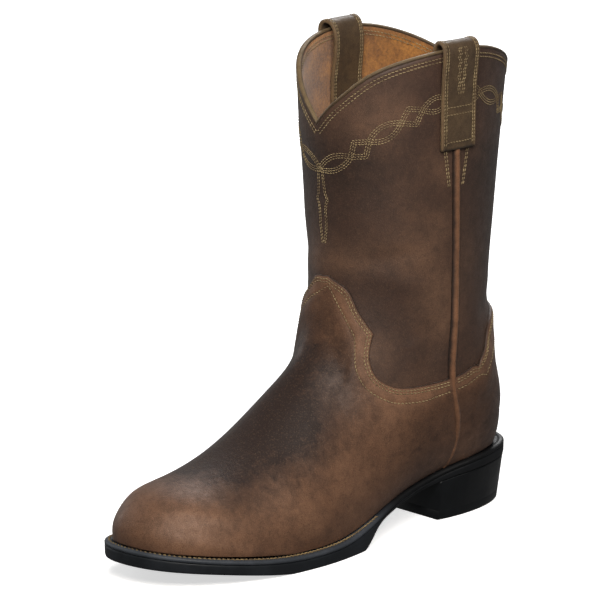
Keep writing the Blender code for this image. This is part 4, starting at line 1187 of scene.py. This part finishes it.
# steps up the block: fraction of the way from foot to seat, inset, mm over that way
HEEL_STEPS = [
    (0.0, 0.55, 0.0), (0.0, 0.15, 0.12), (0.0, 0.0, 0.5), (0.0, 0.0, 5.3), (0.0, 0.18, 5.75),
    (0.0, 0.18, 6.0), (0.0, 0.0, 6.4), (1.0, 0.15, -1.2), (1.0, 0.0, -0.6), (1.0, 0.35, 0.0),
]
centre, length, outer, inner = HEEL_FOOT
head = outline(-0.5, HEEL_COUNTS, BREAST)
foot = head.copy()
foot[:, 1] = BREAST - (BREAST - head[:, 1]) * (BREAST - centre + length) / (BREAST - head[0, 1])
bow = np.sqrt(np.clip(1 - ((centre - foot[:, 1]) / length) ** 2, 0, 1))
foot[:, 0] = np.where(head[:, 0] > 0, outer, -inner) * bow
foot[0, 0] = 0.0
seat_z = tread_z(head[:, 1]) - LAP
heel_middle = np.array([0.0, 30.0])
loops = []
for up, inset, height in HEEL_STEPS:
    gone = up + height / seat_z
    loop = foot + (head - foot) * gone[:, None]
    loop = loop - unit(loop - heel_middle) * inset
    loop[:, 1] = np.minimum(loop[:, 1], BREAST - inset)
    loops.append(lifted(loop, seat_z * up + height))
slab("heel_block", "heel", loops, heel_rubber)

# The stitching: waxed khaki thread, doubled and tripled in close rows. Each stitch is its own
# short arch of thread, pulled down into the leather at both ends.
THREAD = 0.62
STITCH = 2.35
# one stitch: way along, height, thickness as a share of the thread's
ARCH = [(0.0, -0.34, 0.55), (0.16, 0.06, 0.95), (0.5, 0.24, 1.08), (0.84, 0.06, 0.95),
        (1.0, -0.34, 0.55)]
SIDES = 6
SLANT = 0.16


def waxed_thread(name, ground, soiled):
    """Twisted polyester thread under beeswax: a dull shine along each stitch, dark in its twist,
    browner where polish has caught it."""
    material, tree, shader = new_material(name, Roughness=0.62)
    place_at = add_node(tree, "ShaderNodeTexCoord").outputs["Object"]
    polish = cloudy(tree, place_at, 9.0, 5.0, 0.7)
    tint = mixed(tree, ranged(tree, polish, 0.38, 0.66), linear(ground), linear(soiled))
    tree.links.new(tint, shader.inputs["Base Color"])
    ply = add_node(tree, "ShaderNodeTexWave", {
        "Vector": place_at, "Scale": 1000 / 0.9, "Distortion": 3.0}, bands_direction="DIAGONAL")
    tree.links.new(bumped(tree, ply.outputs["Fac"], 0.4, 0.12), shader.inputs["Normal"])
    return material


khaki_thread = waxed_thread("waxed_khaki_thread", "#a08c66", "#66533b")


def resampled(path, normals, at):
    """Points and normals of a path at some distances along it."""
    run = np.append(0, np.cumsum(np.linalg.norm(np.diff(path, axis=0), axis=1)))
    spots = np.stack([np.interp(at, run, path[:, k]) for k in range(3)], -1)
    facing = np.stack([np.interp(at, run, normals[:, k]) for k in range(3)], -1)
    return spots, unit(facing)


def stitches(name, rows, material, pitch=STITCH, thick=THREAD, lean=SLANT):
    """Every stitch of some rows as one mesh. A row is a path on the leather and its normals."""
    way, height, share = np.array(ARCH).T
    turn = np.linspace(0, 2 * np.pi, SIDES, endpoint=False)
    radius = share * thick / 2
    rings = []
    for path, normals in rows:
        total = np.linalg.norm(np.diff(path, axis=0), axis=1).sum()
        count = max(int(round(total / pitch)), 1)
        step = total / count
        start = np.arange(count)[:, None] * step
        at = start + step * (0.05 + 0.90 * way)
        spots, facing = resampled(path, normals, at)
        ahead = unit(spots[:, -1:] - spots[:, :1])
        beside = unit(np.cross(facing, np.broadcast_to(ahead, facing.shape)))
        shift = (way - 0.5) * lean * step
        lift = height * thick / THREAD
        middle = spots + facing * lift[None, :, None] + beside * shift[None, :, None]
        rings.append(middle[:, :, None]
                     + beside[:, :, None] * (np.cos(turn)[None, :] * radius[:, None])[None, ..., None]
                     + facing[:, :, None] * (np.sin(turn)[None, :] * radius[:, None])[None, ..., None])
    points = np.concatenate(rings)
    count, rounds = points.shape[:2]
    number = np.arange(count * rounds * SIDES).reshape(count, rounds, SIDES)
    beside = np.roll(number, -1, 2)
    walls = np.stack([number[:, :-1], beside[:, :-1], beside[:, 1:], number[:, 1:]], -1)
    caps = []
    for ring, order in ((number[:, 0], (3, 2, 1, 0)), (number[:, -1], (0, 1, 2, 3))):
        for corners in ((0, 1, 2, 3), (0, 3, 4, 5)):
            caps.append(np.stack([ring[:, corners[k]] for k in order], -1))
    faces = np.concatenate([walls.reshape(-1, 4)] + caps)
    piece(name, None, points, faces, material)


def at_distance(base, normals, out, gone, distance):
    """The line across a grid that lies at a distance from its last row, on the leather."""
    columns = []
    for k in range(len(base)):
        order = np.argsort(gone[k])
        columns.append([np.interp(distance, gone[k][order], values[order])
                        for values in (*base[k].T, *normals[k].T, out[k])])
    columns = np.array(columns)
    normal = unit(columns[:, 3:6])
    return columns[:, :3] + normal * columns[:, 6:], normal


def clipped(row, head, tail):
    """A row with some length taken off each end."""
    path, normals = row
    total = np.linalg.norm(np.diff(path, axis=0), axis=1).sum()
    return resampled(path, normals, np.arange(head, total - tail, 0.4))


SEAM_MARGIN = 2.6


def overlay_rows(base, normal, out, band_row):
    """The two rows inside an overlay's cut edge, and the one along its band."""
    near = slice(band_row - 8, None)
    gone = np.linalg.norm(base - base[:, -1:], axis=-1)
    rows = [at_distance(base[:, near], normal[:, near], out[:, near], gone[:, near], distance)
            for distance in STITCH_ROWS]
    rows.append((base[:, band_row] + normal[:, band_row] * out[:, band_row, None],
                 normal[:, band_row]))
    return [clipped(row, SEAM_MARGIN, SEAM_MARGIN) for row in rows]


vamp_normal = unit(sample(NORMALS, vamp_tw[..., 0], vamp_tw[..., 1]))
stitches("vamp_stitching", overlay_rows(vamp_base, vamp_normal, vamp_out, VAMP_RISE - 1),
         khaki_thread)
stitches("counter_stitching",
         overlay_rows(counter_base, counter_normal, counter_out, COUNTER_RISE - 1),
         khaki_thread)


def laid(points):
    """A path laid on the shaft leather, with its normals."""
    spots, normals = nearest(points)
    return spots + normals * relief(spots)[:, None], normals


# two rows under the rim, outside and inside, which run on past each other at front and back
RIM_ROWS = (2.9, 5.0)
CROSS_PAST = 3.0
rim_rows_made = []
half_count = RIM_STATIONS // 2
for half in (np.arange(0, half_count + 1), np.arange(half_count, RIM_STATIONS + 1) % RIM_STATIONS):
    for distance in RIM_ROWS:
        path = (rim_line - rim_up * distance)[half]
        path[[0, -1]] = path[[1, -2]] * 2 - path[[2, -3]]
        ends = [path[0] + unit(path[0] - path[4]) * CROSS_PAST,
                path[-1] + unit(path[-1] - path[-5]) * CROSS_PAST]
        path = np.concatenate([[ends[0]], path, [ends[1]]])
        rim_rows_made.append(laid(path))
        spots, facing = nearest(path)
        rim_rows_made.append((spots - facing * (LINING[1] + 0.02), -facing))
stitches("rim_stitching", rim_rows_made, khaki_thread)

# the chain under the rim: crossings at fractions across and heights, with the kind of link
# that runs on from each, "leaf" rounded and long, "box" short with pointed corners
CHAIN = [
    (0.500, 221.5, "leaf"), (0.439, 230.9, "box"), (0.408, 240.5, "leaf"),
    (0.356, 250.9, "box"), (0.320, 257.8, "leaf"), (0.272, 262.3, "box"),
    (0.245, 263.5, "leaf"), (0.205, 262.5, "leaf"), (0.145, 254.8, "box"),
    (0.114, 247.0, "leaf"), (0.060, 234.0, "box"), (0.030, 226.0, "leaf"),
    (0.000, 221.5, "end"),
]
LEAF_RISE = 4.0
BOX_RISE = 5.4
STRAND = (-1.35, 0.0, 1.35)


def chain_rows(flip):
    """Three stitch rows for each of the chain's two strands, round one half of the shaft."""
    across_at, rise_at, sway = [], [], []
    sign = 1.0
    for (w0, z0, kind), (w1, z1, _) in zip(CHAIN, CHAIN[1:]):
        k = np.linspace(0, 1, 40, endpoint=False)
        across_at.append(w0 + (w1 - w0) * k)
        rise_at.append(z0 + (z1 - z0) * k)
        bulge = LEAF_RISE * np.sin(np.pi * k) ** 0.8
        if kind == "box":
            bulge = BOX_RISE * (1 - np.abs(2 * k - 1))
        sway.append(sign * bulge)
        sign = -sign
    across_at, rise_at, sway = (np.concatenate(v) for v in (across_at, rise_at, sway))
    across_at = 1 - across_at if flip else across_at
    centre = sample(LATTICE, row_at(across_at, rise_at), across_at)
    normal = unit(sample(NORMALS, row_at(across_at, rise_at), across_at))
    ahead = unit(np.gradient(centre, axis=0))
    up = unit(np.cross(ahead, normal))
    up *= np.sign(up[:, 2:3])
    rows = []
    for strand in (1, -1):
        middle = centre + up * (sway * strand)[:, None]
        heading = unit(np.gradient(middle, axis=0))
        beside = unit(np.cross(heading, normal))
        for offset in STRAND:
            rows.append(laid(middle + beside * offset))
    return rows


# the pendant at front and back: distance below the chain, half width of its two strands
PENDANT = [
    (-1.0, 1.6), (4.0, 2.0), (9.0, 2.3), (15.0, 2.9), (18.5, 4.7), (20.5, 3.3), (25.0, 2.5),
    (33.0, 2.7), (40.0, 1.9), (46.0, 0.7), (49.0, 0.1),
]
PENDANT_ROWS = (-0.75, 0.55)


def pendant_rows(front):
    """The stitch rows of one pendant, down the middle of the front or back."""
    drop, half_width = np.array(PENDANT).T
    at = np.linspace(drop[0], drop[-1], 90)
    width = np.interp(at, drop, half_width)
    across_at = np.full(90, 0.5 if front else 0.0)
    t = row_at(across_at, CHAIN[0][1] - at)
    centre = sample(LATTICE, t, across_at)
    centre[:, 0] = 0.0
    rows = []
    for side in (1, -1):
        for offset in PENDANT_ROWS:
            reach = np.maximum(width + offset, 0.15)
            rows.append(laid(centre + np.array([1.0, 0, 0]) * (side * reach)[:, None]))
    return rows


ornament = chain_rows(False) + chain_rows(True) + pendant_rows(True) + pendant_rows(False)
stitches("chain_stitching", ornament, khaki_thread, 1.95, 0.50)

# short rows from the strap's lower corners, running down and in towards each seam: each end
# as s from the strap's middle, and height
SEAM_ROWS = [((9.5, 231.0), (6.0, 209.0)), ((8.0, 231.0), (4.6, 209.0)),
             ((-9.5, 231.0), (-6.0, 209.0)), ((-8.0, 231.0), (-4.6, 209.0))]
seam_rows_made = []
for side in (1, -1):
    for (s0, z0), (s1, z1) in SEAM_ROWS:
        k = np.linspace(0, 1, 30)
        s, z = STRAP_CENTRE + s0 + (s1 - s0) * k, z0 + (z1 - z0) * k
        t, w = place(side, s, z)
        seam_rows_made.append(laid(sample(LATTICE, t, w)))
stitches("seam_stitching", seam_rows_made, khaki_thread)

# the strap's own stitching: double rows inside each edge, a barred box at its foot, and a
# small twisted ornament up its outside
STRAP_ROWS = (0.87, 0.755)
# the ornament's outline: way along the strap, half width as a share of the strap's
ORNAMENT = [
    (0.165, 0.02), (0.19, 0.10), (0.215, 0.03), (0.24, 0.13), (0.265, 0.04), (0.29, 0.15),
    (0.315, 0.05), (0.34, 0.20), (0.365, 0.07), (0.39, 0.17), (0.41, 0.04),
]
BAR_ROWS = (0.022, 0.100, 0.122)
strap_rows = []
for side in (1, -1):
    long_at = np.linspace(0.012, 0.985, 220)
    outer_face = STRAP[1] / 2 - 0.05
    for edge in STRAP_ROWS:
        for end in (1, -1):
            middle, normal = strap_frame(side, long_at, np.array([edge * end - 0.02, edge * end]))
            strap_rows.append((middle[:, 1] + normal[:, 1] * outer_face, normal[:, 1]))
    for bar in BAR_ROWS:
        wide = np.linspace(-0.74, 0.74, 24)
        middle, normal = strap_frame(side, np.array([bar - 0.002, bar, bar + 0.002]), wide)
        strap_rows.append((middle[1] + normal[1] * outer_face, normal[1]))
    long_at = np.linspace(ORNAMENT[0][0], ORNAMENT[-1][0], 70)
    reach = np.interp(long_at, *zip(*ORNAMENT))
    for end in (1, -1):
        for extra in (0.0, 0.10):
            wide = np.linspace(-0.6, 0.6, 49)
            middle, normal = strap_frame(side, long_at, wide)
            at = end * (reach + extra)
            path = np.stack([[np.interp(at[i], wide, middle[i, :, k]) for k in range(3)]
                             for i in range(70)])
            facing = normal[:, 24]
            strap_rows.append((path + facing * outer_face, facing))
stitches("strap_stitching", strap_rows, khaki_thread, 2.1, 0.52)

# the welt stitches: thick beads in the groove against the upper, from waist to waist
WELT_STITCH_FROM = 122.0
WELT_STITCH_OUT = 2.55
round_toe = np.sin(np.linspace(0, np.pi / 2, 160))
welt_s = np.concatenate([np.linspace(WELT_STITCH_FROM, BALL_LINE, 120)[:-1],
                         BALL_LINE + (LAST_LENGTH - BALL_LINE) * round_toe])
welt_sides = [lifted(line, feather_z(welt_s) - LAP + 0.05)
              for line in sides_out(welt_s, WELT_STITCH_OUT, False)]
welt_path = np.concatenate([welt_sides[0], welt_sides[1][::-1][1:]])
welt_up = np.broadcast_to([0.0, 0.0, 1.0], welt_path.shape)
stitches("welt_stitching", [(welt_path, welt_up)], waxed_thread(
    "waxed_tan_welt_thread", "#8f7850", "#54422c"), 2.9, 0.95, 0.35)
